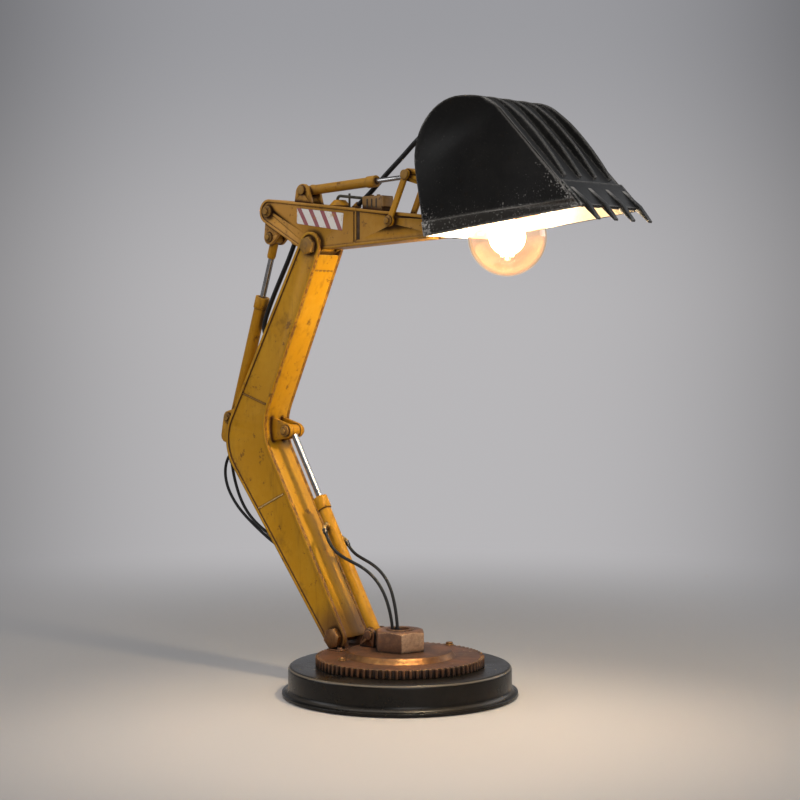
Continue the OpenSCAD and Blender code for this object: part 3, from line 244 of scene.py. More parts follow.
def newMaterial(name, **fixed):
    material = bpy.data.materials.new(name)
    material.use_nodes = True
    tree = material.node_tree
    shader = tree.nodes["Principled BSDF"]
    for key, value in fixed.items():
        shader.inputs[key.replace("_", " ")].default_value = value
    return material, tree, shader


def pitSurface(shader, edge, look):
    tree = shader.id_data
    pits = useGroup(tree, "pitting", scale=look["pits"])["height"]
    bump = {"Strength": look["bump"], "Distance": look["pitDepth"]}
    bump = put(tree, "Bump", {"Height": pits, **bump, "Normal": edge["normal"]})
    feed(shader, "Normal", bump.outputs[0])


# worn ochre paint over steel
ochreLook = {
    "paint": (0.378, 0.166, 0.004), "faded": (0.42, 0.198, 0.01), "grimeAndShade": (0.05, 0.023, 0.007),
    "edge": (0.52, 0.31, 0.085), "rustAndShade": (0.07, 0.024, 0.009), "edgeRadius": 0.0012, "bump": 0.24,
    "stain": {"x": -0.0595, "z": 0.0405, "near": 0.012, "far": 0.034, "colour": (0.105, 0.044, 0.018)},
}
# the boom's copy of the ochre is painted brighter: painted light for the bulb shining on the boom's front
boomLook = {**ochreLook, "paint": (0.412, 0.19, 0.004), "faded": (0.452, 0.222, 0.01)}
plateLook = {**boomLook, "rimSide": (1.0, 0.0, 0.0), "rimRust": (0.085, 0.03, 0.011)}
stickLook = {
    "paint": (0.318, 0.146, 0.01), "faded": (0.37, 0.182, 0.022), "grimeAndShade": (0.045, 0.02, 0.008),
    "edge": (0.52, 0.31, 0.095), "rustAndShade": (0.065, 0.022, 0.009), "edgeRadius": 0.0013, "bump": 0.26,
    "stain": {"x": -0.128, "z": 0.38, "near": 0.01, "far": 0.055, "colour": (0.5, 0.24, 0.048)},
}
valveLook = {
    "paint": (0.215, 0.112, 0.032), "faded": (0.29, 0.162, 0.058), "grimeAndShade": (0.03, 0.015, 0.007),
    "edge": (0.56, 0.4, 0.22), "rustAndShade": (0.06, 0.022, 0.01), "edgeRadius": 0.0012, "bump": 0.3,
}
boltLook = {
    "paint": (0.235, 0.115, 0.017), "faded": (0.31, 0.165, 0.035), "grimeAndShade": (0.035, 0.018, 0.008),
    "edge": (0.52, 0.33, 0.11), "rustAndShade": (0.06, 0.022, 0.009), "edgeRadius": 0.0007, "bump": 0.22,
}
# how strongly each kind of wear, dirt and painted shade shows on all of them
ochreWear = {
    "spot": 0.75, "stains": 0.42, "streaks": 0.4, "rubbed": 0.7, "shadeAndDirt": 0.9, "seams": 0.85, "chips": 0.65,
    "rimTurn": (0.35, 0.6), "rimGrain": 260.0, "rimRange": (0.36, 0.6, 0.3, 0.85), "specular": 0.16,
    "rough": 0.42, "patchRough": 0.12, "cornerRough": 0.25, "pits": 420.0, "pitDepth": 0.0004,
}


# rust or dust that spreads from one place
def nearStain(tree, colour, stain):
    place = restPlace(tree)
    across = calc("POWER", minus(place["X"], stain["x"]), 2.0)
    up = calc("POWER", minus(place["Z"], stain["z"]), 2.0)
    away = calc("SQRT", plus(across, up))
    spread = ramp(away, stain["near"], stain["far"], ochreWear["spot"], 0.0)
    return blendColour(spread, colour, stain["colour"])


def makeOchre(name, look, wear=ochreWear):
    material, tree, shader = newMaterial(name, Metallic=0.0, Specular_IOR_Level=wear["specular"])
    patches = maskOf(tree, "patches", scale=22.0, low=0.42, high=0.66)
    stains = maskOf(tree, "patches", scale=34.0, low=0.54, high=0.7)
    streaks = maskOf(tree, "streaks", scale=170.0, low=0.52, high=0.8)
    shadeAndDirt = maskOf(tree, "cornerShadeAndDirt", distance=0.005, gain=2.5, grainScale=140.0, grainAmount=0.8)
    edge = useGroup(tree, "rubbedEdge", radius=look["edgeRadius"], gain=2.8, grainScale=260.0,
                    grainAmount=1.1)
    seams = maskOf(tree, "cornerShadeAndDirt", distance=0.0018, gain=3.2, grainScale=320.0, grainAmount=0.9)
    chips = maskOf(tree, "patches", scale=110.0, low=0.595, high=0.635)
    colour = blendColour(patches, look["paint"], look["faded"])
    if "stain" in look:
        colour = nearStain(tree, colour, look["stain"])
    colour = layer(colour, stains, wear["stains"], look["grimeAndShade"])
    colour = layer(colour, streaks, wear["streaks"], look["grimeAndShade"])
    colour = layer(colour, edge["mask"], wear["rubbed"], look["edge"])
    if "rimSide" in look:  # the edges of the side plates that face forward are rusty
        facing = ramp(facingTo(tree, look["rimSide"]), *wear["rimTurn"])
        rusty = ramp(grainNoise(tree, wear["rimGrain"], detail=4.0, rough=0.7), *wear["rimRange"])
        colour = layer(colour, facing, rusty, look["rimRust"])
    # painted shade, standing also for dirt: corners and laps darkened by how closed in they are, and the
    # tight inner corners of the seams darker still
    colour = layer(colour, shadeAndDirt, wear["shadeAndDirt"], look["grimeAndShade"])
    colour = layer(colour, seams, wear["seams"], look["rustAndShade"])
    colour = layer(colour, chips, wear["chips"], look["rustAndShade"])
    feed(shader, "Base Color", colour)
    dull = plus(times(patches, wear["patchRough"]), times(shadeAndDirt, wear["cornerRough"]))
    feed(shader, "Roughness", plus(dull, wear["rough"]))
    pitSurface(shader, edge, {**wear, **look})
    return material


# gear, nut and brackets: copper-brown rust with corners rubbed golden
copperLook = {
    "brown": (0.074, 0.034, 0.018), "copper": (0.185, 0.078, 0.035), "dark": (0.012, 0.007, 0.005),
    "gold": (0.55, 0.31, 0.11), "edgeRadius": 0.0009, "metallic": (0.3, 0.7), "rough": (0.52, 0.34),
}
hubLook = {
    "brown": (0.15, 0.068, 0.028), "copper": (0.29, 0.14, 0.05), "dark": (0.03, 0.014, 0.007),
    "gold": (0.62, 0.36, 0.12), "edgeRadius": 0.0009, "metallic": (0.7, 0.95), "rough": (0.4, 0.3),
}
nutLook = {
    "brown": (0.1, 0.047, 0.026), "copper": (0.23, 0.108, 0.054), "dark": (0.02, 0.01, 0.006),
    "gold": (0.66, 0.42, 0.2), "edgeRadius": 0.0013, "metallic": (0.2, 0.5), "rough": (0.5, 0.38),
    # worn here is the paler colour of the painted highlight on the flat that faces the bulb
    "worn": (0.47, 0.295, 0.18), "litSide": (0.95, -0.31, 0.0),
}
copperWear = {
    "rubs": 0.45, "rubbed": 0.85, "sideTurn": (0.75, 0.92), "sideGrain": 420.0,
    "sideRange": (0.36, 0.62, 0.55, 1.0), "metalRange": (-0.8, 1.0), "pits": 520.0, "bump": 0.35,
    "pitDepth": 0.0005,
}


def makeCopper(name, look, wear=copperWear):
    material, tree, shader = newMaterial(name)
    patches = maskOf(tree, "patches", scale=38.0, low=0.4, high=0.62)
    shadeAndDirt = maskOf(tree, "cornerShadeAndDirt", distance=0.004, gain=1.5, grainScale=220.0, grainAmount=0.6)
    edge = useGroup(tree, "rubbedEdge", radius=look["edgeRadius"], gain=3.0, grainScale=420.0,
                    grainAmount=0.9)
    rubs = maskOf(tree, "patches", scale=60.0, low=0.58, high=0.68)
    colour = blendColour(patches, look["brown"], look["copper"])
    colour = layer(colour, rubs, wear["rubs"], look["gold"])
    if "litSide" in look:  # painted highlight: the flat turned towards the bulb is painted paler, as if lit
        facing = ramp(facingTo(tree, look["litSide"]), *wear["sideTurn"])
        grain = ramp(grainNoise(tree, wear["sideGrain"], detail=4.0, rough=0.7), *wear["sideRange"])
        colour = layer(colour, facing, grain, look["worn"])
    # painted shade, standing also for dirt: corners darkened towards the dark colour
    colour = blendColour(shadeAndDirt, colour, look["dark"])
    colour = layer(colour, edge["mask"], wear["rubbed"], look["gold"])
    feed(shader, "Base Color", colour)
    feed(shader, "Metallic", ramp(minus(patches, shadeAndDirt), *wear["metalRange"], *look["metallic"]))
    feed(shader, "Roughness", ramp(plus(rubs, edge["mask"]), 0.0, 1.0, *look["rough"]))
    pitSurface(shader, edge, wear)
    return material


# satin black lacquer of the base, faintly brown where it is rubbed, with a painted highlight along its
# rounded rims
baseLook = {
    "black": (0.005, 0.0042, 0.0034), "warm": (0.012, 0.009, 0.0062), "rubAndHighlight": (0.2, 0.165, 0.125),
    "rubbed": 0.35, "rimStart": (0.3, 0.6), "rimStop": (0.93, 0.72), "footFade": (0.01, 0.014, 0.12, 0.55),
    "specular": 0.2, "rough": (0.26, 0.36), "pits": 700.0, "bump": 0.1, "pitDepth": 0.0003,
}


def makeBaseBlack(name, look):
    material, tree, shader = newMaterial(name, Metallic=0.0, Specular_IOR_Level=look["specular"])
    patches = maskOf(tree, "patches", scale=14.0, low=0.4, high=0.7)
    edge = useGroup(tree, "rubbedEdge", radius=0.0012, gain=1.8, grainScale=180.0, grainAmount=0.7)
    colour = blendColour(patches, look["black"], look["warm"])
    colour = layer(colour, edge["mask"], look["rubbed"], look["rubAndHighlight"])
    lean = put(tree, "SeparateXYZ", {0: put(tree, "NewGeometry").outputs["Normal"]}).outputs["Z"]
    # painted highlight along the rounded rims only, and hardly on the bead at the foot
    rim = times(ramp(lean, *look["rimStart"]), ramp(lean, *look["rimStop"]))
    rim = times(rim, ramp(restPlace(tree)["Z"], *look["footFade"]))
    colour = blendColour(rim, colour, look["rubAndHighlight"])
    feed(shader, "Base Color", colour)
    feed(shader, "Roughness", ramp(patches, 0.0, 1.0, *look["rough"]))
    pitSurface(shader, edge, look)
    return material


# charcoal bucket: scuffed grey specks gather at every edge, low on the sides and on the wear strip
bucketLook = {
    "black": (0.0085, 0.008, 0.0076), "worn": (0.018, 0.0165, 0.015), "scuff": (0.4, 0.375, 0.345),
    "strip": (0.02, 0.0165, 0.013), "stripFace": 0.0375, "stripStep": 0.0003,
    "lowEdge": (0.059, 0.3647, 0.1139), "lowBand": 0.04, "backX": (0.085, 0.055), "sideY": (0.034, 0.0365),
    "frontEdge": (0.2074, 0.3816, math.radians(44.96)), "frontFace": (0.036, 0.036, 0.037),
    "frontBand": 0.016, "frontLow": (0.06, 0.01), "lowShare": 0.35, "frontShare": 0.72,
    "dustGrain": 560.0, "dustGain": 0.26, "dustRange": (0.69, 0.76), "faceTurn": (0.93, 0.99, 0.0, 0.85),
    "stripShare": 0.75, "dusty": 0.65, "specks": 0.5, "rubbed": 0.7, "bare": 0.4, "specular": 0.12,
    "rough": (0.5, 0.64), "pits": 480.0, "bump": 0.2, "pitDepth": 0.0004,
}


def makeBucketBlack(name, look):
    material, tree, shader = newMaterial(name, Specular_IOR_Level=look["specular"])
    patches = maskOf(tree, "patches", scale=16.0, low=0.42, high=0.72)
    edge = useGroup(tree, "rubbedEdge", radius=0.001, gain=2.6, grainScale=500.0, grainAmount=1.3)
    specks = maskOf(tree, "rubbedEdge", radius=0.005, gain=1.5, grainScale=900.0, grainAmount=1.7)
    place = restPlace(tree)
    outward = calc("ABSOLUTE", place["Y"])
    x0, z0, slope = look["lowEdge"]
    lowLine = plus(times(minus(place["X"], x0), slope), z0)
    above = minus(place["Z"], lowLine)
    back = ramp(place["X"], *look["backX"])
    near = times(ramp(above, look["lowBand"], 0.0), calc("MAXIMUM", back, look["lowShare"]))
    x1, z1, tilt = look["frontEdge"]
    inward = plus(times(minus(x1, place["X"]), math.cos(tilt)),
                  times(minus(z1, place["Z"]), math.sin(tilt)))
    front = ramp(inward, look["frontBand"], 0.0, 0.0, look["frontShare"])
    front = times(front, ramp(above, *look["frontLow"]))
    corner = times(calc("MAXIMUM", front, near), ramp(outward, *look["sideY"]))
    dust = grainNoise(tree, look["dustGrain"], detail=4.0, rough=0.7)
    dusty = ramp(plus(dust, times(corner, look["dustGain"])), *look["dustRange"])
    strip = ramp(outward, look["stripFace"] - look["stripStep"], look["stripFace"])
    colour = blendColour(patches, look["black"], look["worn"])
    # faces turned to the front are painted a paler grey: partly dust, partly painted light for the light they
    # catch
    facing = facingTo(tree, (math.cos(tilt), 0.0, math.sin(tilt)))
    colour = blendColour(ramp(facing, *look["faceTurn"]), colour, look["frontFace"])
    colour = layer(colour, strip, look["stripShare"], look["strip"])
    for key, mask in (("dusty", dusty), ("specks", specks), ("rubbed", edge["mask"])):
        colour = layer(colour, mask, look[key], look["scuff"])
    feed(shader, "Base Color", colour)
    feed(shader, "Metallic", times(edge["mask"], look["bare"]))
    feed(shader, "Roughness", ramp(patches, 0.0, 1.0, *look["rough"]))
    pitSurface(shader, edge, look)
    return material


# plain metals, rubber and plastic: light and dark shade, roughness of each, scale of the marks
plainLooks = {
    "metal": {
        "ramChrome": ((0.42, 0.41, 0.41), (0.24, 0.23, 0.22), (0.18, 0.32), 300.0),
        "brightSteel": ((0.6, 0.6, 0.61), (0.38, 0.37, 0.36), (0.26, 0.42), 240.0),
        "bushBrass": ((0.5, 0.34, 0.13), (0.26, 0.16, 0.06), (0.28, 0.45), 200.0),
        "darkSteel": ((0.11, 0.1, 0.09), (0.045, 0.04, 0.036), (0.34, 0.5), 220.0),
        "capMetal": ((0.78, 0.75, 0.68), (0.5, 0.47, 0.42), (0.22, 0.4), 200.0),
        "castIron": ((0.16, 0.16, 0.165), (0.07, 0.07, 0.07), (0.5, 0.7), 120.0),
    },
    "moulded": {
        "hoseRubber": ((0.009, 0.009, 0.0095), (0.004, 0.004, 0.0045), (0.45, 0.6), 260.0),
        "padRubber": ((0.03, 0.03, 0.03), (0.015, 0.015, 0.015), (0.7, 0.85), 160.0),
        "holderBlack": ((0.022, 0.021, 0.02), (0.01, 0.01, 0.01), (0.4, 0.55), 140.0),
        "switchPlastic": ((0.02, 0.02, 0.02), (0.01, 0.01, 0.01), (0.22, 0.34), 140.0),
        "buttonRed": ((0.42, 0.02, 0.016), (0.26, 0.012, 0.01), (0.22, 0.34), 140.0),
        "darkPipe": ((0.046, 0.038, 0.022), (0.016, 0.013, 0.009), (0.42, 0.6), 200.0),
        "highlitBead": ((0.48, 0.32, 0.12), (0.3, 0.18, 0.06), (0.5, 0.65), 300.0),
        "jointGrime": ((0.06, 0.03, 0.011), (0.028, 0.014, 0.006), (0.65, 0.8), 160.0),
        "shadeLining": ((0.78, 0.72, 0.64), (0.66, 0.59, 0.5), (0.5, 0.65), 90.0),
    },
}
plainKinds = {
    "metal": {"metallic": 1.0, "specular": 0.5, "marksHigh": 0.7, "edgeRadius": 0.0005, "edgeGain": 2.0,
              "pits": 900.0, "bump": 0.06, "pitDepth": 0.0002},
    "moulded": {"metallic": 0.0, "specular": 0.3, "marksHigh": 0.68, "edgeRadius": 0.0006, "edgeGain": 1.5,
                "pits": 800.0, "bump": 0.12, "pitDepth": 0.0003},
}


def makePlain(name, kind, light, dark, rough, scale):
    material, tree, shader = newMaterial(name, Metallic=kind["metallic"], Specular_IOR_Level=kind["specular"])
    marks = maskOf(tree, "patches", scale=scale, low=0.4, high=kind["marksHigh"])
    edge = useGroup(tree, "rubbedEdge", radius=kind["edgeRadius"], gain=kind["edgeGain"], grainScale=300.0,
                    grainAmount=0.5)
    feed(shader, "Base Color", blendColour(marks, light, dark))
    feed(shader, "Roughness", ramp(marks, 0.0, 1.0, *rough))
    pitSurface(shader, edge, kind)
    return material


# printed foil stripes, rubbed through to the paint here and there
foilLooks = {"foilRed": (0.225, 0.012, 0.018), "foilWhite": (0.62, 0.57, 0.52)}
foilWear = {"keep": 0.75, "lift": 0.08, "faded": 0.6, "bare": 0.7, "rough": (0.38, 0.6)}


def makeFoil(name, ink, wear=foilWear):
    material, tree, shader = newMaterial(name, Metallic=0.0)
    bare = maskOf(tree, "patches", scale=130.0, low=0.56, high=0.64)
    faded = maskOf(tree, "patches", scale=40.0, low=0.38, high=0.7)
    pale = tuple(wear["keep"] * c + wear["lift"] for c in ink)
    colour = layer(ink, faded, wear["faded"], pale)
    colour = layer(colour, bare, wear["bare"], ochreLook["paint"])
    feed(shader, "Base Color", colour)
    feed(shader, "Roughness", ramp(bare, 0.0, 1.0, *wear["rough"]))
    return material


# bulb: clear peach glass, whiter above, with an amber rim; a white-hot cage
bulbLook = {
    "glass": (0.9, 0.64, 0.5), "bloom": (0.95, 0.78, 0.62), "rim": (0.95, 0.5, 0.13),
    "peach": (0.97, 0.7, 0.36), "white": (1.0, 0.93, 0.8), "whiteFrom": 0.349, "whiteTo": 0.374,
    "glowStrength": 0.12, "filament": (1.0, 0.84, 0.56), "hottest": (1.0, 0.9, 0.68),
    "filamentStrength": 18.0, "rimBlend": 0.35, "rimTurn": (0.45, 0.95),
}


def makeGlass(name, look):
    material, tree, shader = newMaterial(name, Metallic=0.0, Roughness=0.02, IOR=1.45)
    shader.inputs["Transmission Weight"].default_value = 1.0
    shader.inputs["Emission Strength"].default_value = look["glowStrength"]
    haze = maskOf(tree, "patches", scale=30.0, low=0.35, high=0.75)
    feed(shader, "Base Color", blendColour(haze, look["glass"], look["bloom"]))
    high = ramp(restPlace(tree)["Z"], look["whiteFrom"], look["whiteTo"])
    glow = blendColour(high, look["peach"], look["white"])
    rim = put(tree, "LayerWeight", {"Blend": look["rimBlend"]}).outputs["Facing"]
    glow = blendColour(ramp(rim, *look["rimTurn"]), glow, look["rim"])
    feed(shader, "Emission Color", glow)
    return material


def makeFilament(name, look):
    material, tree, shader = newMaterial(name, Metallic=0.0, Roughness=0.4)
    shader.inputs["Emission Strength"].default_value = look["filamentStrength"]
    heat = maskOf(tree, "patches", scale=90.0, low=0.3, high=0.7)
    colour = blendColour(heat, look["filament"], look["hottest"])
    feed(shader, "Emission Color", colour)
    feed(shader, "Base Color", colour)
    return material


finish = {
    "ochre": makeOchre("wornOchre", ochreLook), "boom": makeOchre("boomOchre", boomLook),
    "plate": makeOchre("rustyRims", plateLook), "stick": makeOchre("dullOchre", stickLook),
    "valve": makeOchre("brownPaint", valveLook), "bolt": makeOchre("rubbedBolt", boltLook),
    "copper": makeCopper("rustyCopper", copperLook), "hub": makeCopper("rubbedHub", hubLook),
    "nut": makeCopper("rubbedNut", nutLook), "base": makeBaseBlack("satinBlack", baseLook),
    "bucket": makeBucketBlack("scuffedCharcoal", bucketLook), "glass": makeGlass("amberGlass", bulbLook),
    "filament": makeFilament("hotFilament", bulbLook),
}
for kind, looks in plainLooks.items():
    finish.update({name: makePlain(name, plainKinds[kind], *look) for name, look in looks.items()})
finish.update({name: makeFoil(name, ink) for name, ink in foilLooks.items()})
print("finishes ready:", len(finish))


# mesh helpers
def newPiece(name, bm, material, body=None, smooth=True, recalc=True):
    if recalc:
        bmesh.ops.recalc_face_normals(bm, faces=bm.faces)
    mesh = bpy.data.meshes.new(name)
    bm.to_mesh(mesh)
    bm.free()
    for face in mesh.polygons:
        face.use_smooth = smooth
    mesh.materials.append(finish[material])
    piece = bpy.data.objects.new(name, mesh)
    scene.collection.objects.link(piece)
    if body:
        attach(piece, body)
    return piece


curveSteps = 6  # points between two points of a route
hoseSides = 16


def smoothPath(points):
    fixed = [Vector(p) * mm for p in points]
    fixed = [2 * fixed[0] - fixed[1], *fixed, 2 * fixed[-1] - fixed[-2]]
    path = []
    for a, b, c, d in zip(fixed, fixed[1:], fixed[2:], fixed[3:]):
        for k in range(curveSteps):
            t = k / curveSteps
            path.append(((1 - t) ** 3 * a + (3 * t ** 3 - 6 * t ** 2 + 4) * b
                         + (1 + 3 * t + 3 * t ** 2 - 3 * t ** 3) * c + t ** 3 * d) / 6)
    return path + [fixed[-2]]


def roundTurns(sides):
    return [2 * math.pi * k / sides for k in range(sides)]


def tubeInto(bm, path, radius, sides, swell=None):
    rings = []
    side = Vector((0.3, 0.2, 1))
    for i, point in enumerate(path):
        way = (path[min(i + 1, len(path) - 1)] - path[max(i - 1, 0)]).normalized()
        side = (side - side.dot(way) * way).normalized()
        other = way.cross(side)
        r = radius * (swell(i) if swell else 1)
        rings.append([bm.verts.new(point + r * (math.cos(t) * side + math.sin(t) * other))
                      for t in roundTurns(sides)])
    for a, b in zip(rings, rings[1:]):
        for k in range(sides):
            bm.faces.new((a[k], a[(k + 1) % sides], b[(k + 1) % sides], b[k]))
    bm.faces.new(rings[0])
    bm.faces.new(rings[-1])


# turned shape: pairs of radius and height about an axis, in millimetres
def latheInto(bm, profile, origin, way, sides):
    turn = Vector(way).to_track_quat("Z", "Y").to_matrix().to_4x4()
    place = Matrix.Translation(origin) @ turn
    rings = []
    for r, h in [(r * mm, h * mm) for r, h in profile]:
        if r < 1e-7:
            rings.append([bm.verts.new(place @ Vector((0, 0, h)))])
        else:
            rings.append([bm.verts.new(place @ Vector((r * math.cos(t), r * math.sin(t), h)))
                          for t in roundTurns(sides)])
    for a, b in zip(rings, rings[1:]):
        for k in range(sides):
            n = (k + 1) % sides
            if len(a) == 1 and len(b) > 1:
                bm.faces.new((a[0], b[k], b[n]))
            elif len(b) == 1 and len(a) > 1:
                bm.faces.new((a[k], a[n], b[0]))
            elif len(a) > 1:
                bm.faces.new((a[k], a[n], b[n], b[k]))
    if len(rings[0]) > 1 and len(rings[-1]) > 1:
        bm.faces.new(rings[0])
        bm.faces.new(rings[-1])


def splitLarge(bm):
    bmesh.ops.triangulate(bm, faces=[face for face in bm.faces if len(face.verts) > 4])


# flat plate with its outline in the arm's plane, between two y values
def plateInto(bm, outline, y0, y1):
    near = [bm.verts.new((x * mm, y0 * mm, z * mm)) for x, z in outline]
    far = [bm.verts.new((x * mm, y1 * mm, z * mm)) for x, z in outline]
    bm.faces.new(near)
    bm.faces.new(far[::-1])
    for k in range(len(outline)):
        n = (k + 1) % len(outline)
        bm.faces.new((near[k], far[k], far[n], near[n]))


# the same plate on both sides of the arm
def platesInto(bm, outline, inner, outer):
    for side in (-1, 1):
        plateInto(bm, outline, side * inner, side * outer)


# hoses and leads: the same routes as their solids, in millimetres
def inPlane(y, points):
    return [(x, y, z) for x, z in points]


thinHose = {"diameter": 2.6, "stiffness": "medium"}
lampFlex = {"diameter": 4.0, "stiffness": "limp"}
hoseRuns = {
    "front_hose_left": {
        **thinHose, "node": "front_hoses", "bodies": ("lift_barrel", "turntable"),
        "route": [(-76, -9.355, 128.625), (-73.998, -10.046, 125.255), (-69.6, -10.5, 117.9),
                  (-63.4, -10.4, 111.6), (-55, -9.5, 107), (-45.5, -8.5, 103.9), (-35.8, -7.5, 100.6),
                  (-26.5, -6.6, 95.8), (-18.5, -5.7, 88.9), (-12.5, -4.9, 80.3), (-8.9, -4.1, 71),
                  (-6.7, -3.5, 62.5), (-5.4, -3, 53), (-5.4, -3, 49.02)]},
    "front_hose_right": {
        **thinHose, "node": "front_hoses", "bodies": ("lift_barrel", "turntable"),
        "route": [(-69.361, 9.355, 117.448), (-67.359, 10.046, 114.078), (-62.9, 10.4, 109.1),
                  (-55.4, 9.8, 105.8), (-45.5, 8.6, 103.3), (-36, 7.5, 100.4), (-27, 6.6, 96),
                  (-19.3, 5.8, 89.5), (-13.6, 5, 81), (-9.8, 4.2, 71.5), (-7.3, 3.6, 63), (-5.5, 3, 53),
                  (-5.5, 3, 49.02)]},
    "rear_hose_left": {
        **thinHose, "node": "rear_hoses", "bodies": ("boom",),
        "route": inPlane(-5, [
            (-194.625, 181.532), (-193.662, 177.671), (-191.9, 168.5), (-188, 157), (-182.6, 146.2),
            (-175.3, 136.6), (-166.4, 129.2), (-157, 123.6), (-148.488, 119.407), (-144.849, 117.796)])},
    "rear_hose_right": {
        **thinHose, "node": "rear_hoses", "bodies": ("boom",),
        "route": inPlane(3, [
            (-193.602, 188.776), (-197.463, 187.814), (-204.4, 184.3), (-209, 178.4), (-211.2, 170.9),
            (-210.9, 163.3), (-208.3, 155.4), (-203, 147), (-194.5, 138), (-183.6, 129.9), (-171.8, 122.6),
            (-159.5, 115.4), (-147, 109.2), (-136.553, 104.624), (-132.914, 103.012)])},
    "stick_lead_flex": {
        **lampFlex, "node": "stick_lead", "bodies": ("boom", "stick"),
        "route": inPlane(0, [
            (-151.282, 284.851), (-154.726, 286.846), (-157.7, 291.5), (-157.8, 297.5), (-154.4, 306),
            (-146.5, 321), (-136.5, 337.5), (-127.8, 351.5), (-122.298, 361.74), (-120.417, 365.247)])},
    "lamp_lead_flex": {
        **lampFlex, "node": "lamp_lead", "bodies": ("stick", "bucket"),
        "route": inPlane(7, [
            (-52.278, 395.521), (-48.979, 397.747), (-43.5, 401.6), (-37, 406.2), (-30, 411.9), (-22.3, 418),
            (-11.5, 426), (-1.8, 433), (11, 443.4), (25, 452.4), (36, 458), (43.5, 458.8), (50.267, 454.442),
            (53.527, 452.159)])},
}


def makeHose(name, run):
    path = smoothPath(run["route"])
    bm = bmesh.new()
    tubeInto(bm, path, run["diameter"] / 2 * mm, hoseSides)
    between = len(run["bodies"]) == 2
    hose = newPiece(name, bm, "hoseRubber", None if between else run["bodies"][0])
    if between:
        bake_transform(hose)
    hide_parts(run["node"])
    return path


hosePaths = {name: makeHose(name, run) for name, run in hoseRuns.items()}
print("hoses laid:", len(hosePaths))

# crimped collars where the thin hoses leave their fittings: hose, its end, the body that end moves with
hoseCollars = {
    "at": [("front_hose_left", 0, "lift_barrel"), ("front_hose_right", 0, "lift_barrel"),
           ("rear_hose_left", 0, "boom"), ("rear_hose_left", -1, "boom"),
           ("rear_hose_right", 0, "boom"), ("rear_hose_right", -1, "boom")],
    "profile": [(0, 0), (2.15, 0), (2.15, 1.1), (1.85, 1.3), (1.85, 2.2), (2.0, 2.4), (2.0, 3.4), (1.7, 4.2),
                (0, 4.2)],
    "turns": 20,
}


def makeCollars(look):
    for number, (hose, end, body) in enumerate(look["at"]):
        path = hosePaths[hose][::1 if end == 0 else -1]
        bm = bmesh.new()
        latheInto(bm, look["profile"], path[0], path[3] - path[0], look["turns"])
        newPiece("hose_collar_%d" % number, bm, "darkSteel", body, smooth=False)


makeCollars(hoseCollars)

# every shown solid gets its edges broken and its curves smoothed
dressing = {
    "base": ["base_shell", "bottom_plate"],
    "nut": ["centre_nut"],
    "hub": ["foot_bolt"],
    "copper": ["slew_gear", "spindle_tube", "foot_bracket", "lift_bracket", "lift_foot_pin"],
    "plate": ["boom_left_plate", "boom_right_plate"],
    "boom": ["boom_front_plate", "boom_back_plate"],
    "ochre": ["boom_lugs", "lift_barrel", "lift_gland", "arm_barrel", "side_links", "bucket_link"],
    "stick": ["stick_left_plate", "stick_right_plate", "stick_top_plate", "stick_bottom_plate", "stick_lugs",
              "tip_ram_barrel"],
    "bolt": ["head_bolt", "boom_ram_pins", "stick_pins", "link_pin"],
    "valve": ["valve_block"],
    "ramChrome": ["lift_rod", "arm_rod", "tip_ram_rod"],
    "bucket": ["bucket_shell", "bucket_left_side", "bucket_right_side", "bucket_lip", "bucket_claws",
               "bucket_ears", "bucket_pins"],
    "holderBlack": ["lamp_holder"],
    "darkPipe": ["valve_pipe"],
    "hoseRubber": ["cord_grommet"],
    "switchPlastic": ["switch_body"],
    "buttonRed": ["switch_button"],
    "bushBrass": ["boom_foot_bush", "stick_bushes", "slew_bush"],
    "brightSteel": ["bottom_screws", "spindle_lock_nut"],
    "padRubber": ["floor_pad"],
    "castIron": ["ballast_ring"],
    "capMetal": ["bulb_cap"],
}
edgeBreak = {"width": 0.35 * mm, "angle": math.radians(34),
             "special": {"slew_gear": 0.22 * mm, "foot_bolt": 0.9 * mm, "head_bolt": 0.9 * mm}}


# faces of one solid that take another finish: a test on the face's middle and normal
def nearEye(x, z, reach):
    return lambda c, n: math.hypot(c.x - x * mm, c.z - z * mm) < reach * mm


shadeMiddle = Vector((0.11, 0, 0.4))
shadeDepth = 0.002  # faces that look this far towards the middle belong to the lining
elbowBack = {"x": -0.1538, "z": 0.1987, "from": 185, "to": 206, "away": 0.0374,
             "footX": -0.0595, "footZ": 0.0405, "outX": -0.7781, "outZ": -0.6282, "past": 0.0114}


def insideShade(c, n):
    return n.dot(shadeMiddle - c) > shadeDepth


def outsideBoom(c, n, look=elbowBack):
    x, z = c.x - look["x"], c.z - look["z"]
    turn = math.degrees(math.atan2(z, x)) % 360
    low = look["outX"] * (c.x - look["footX"]) + look["outZ"] * (c.z - look["footZ"])
    onElbow = look["from"] < turn < look["to"] and math.hypot(z, x) > look["away"]
    return onElbow or (turn > look["to"] and low > look["past"])


faceZones = {
    "lift_rod": ("ochre", nearEye(-123.5, 208.0, 7.5)),
    "arm_rod": ("ochre", nearEye(-143.3, 371.3, 7.5)),
    "tip_ram_rod": ("ochre", nearEye(17.5, 415.5, 6.5)),
    "slew_gear": ("hub", lambda c, n: 0.0316 < c.z < 0.0357 and 0.2 < n.z < 0.99),
    "valve_pipe": ("ochre", lambda c, n: c.z < 0.3998 and abs(c.x + 0.0671) < 0.0095),
    "lift_barrel": ("bushBrass", lambda c, n: abs(c.y) > 0.0054),
    "boom_back_plate": ("darkSteel", outsideBoom),
    "bucket_shell": ("shadeLining", insideShade),
    "bucket_left_side": ("shadeLining", insideShade),
    "bucket_right_side": ("shadeLining", insideShade),
}
skinSlack = {"stick_pins": 0.04 * mm}  # pin heads stand a hair off the links they hold
skinClean = {"join": 1e-6, "flat": math.radians(0.8)}


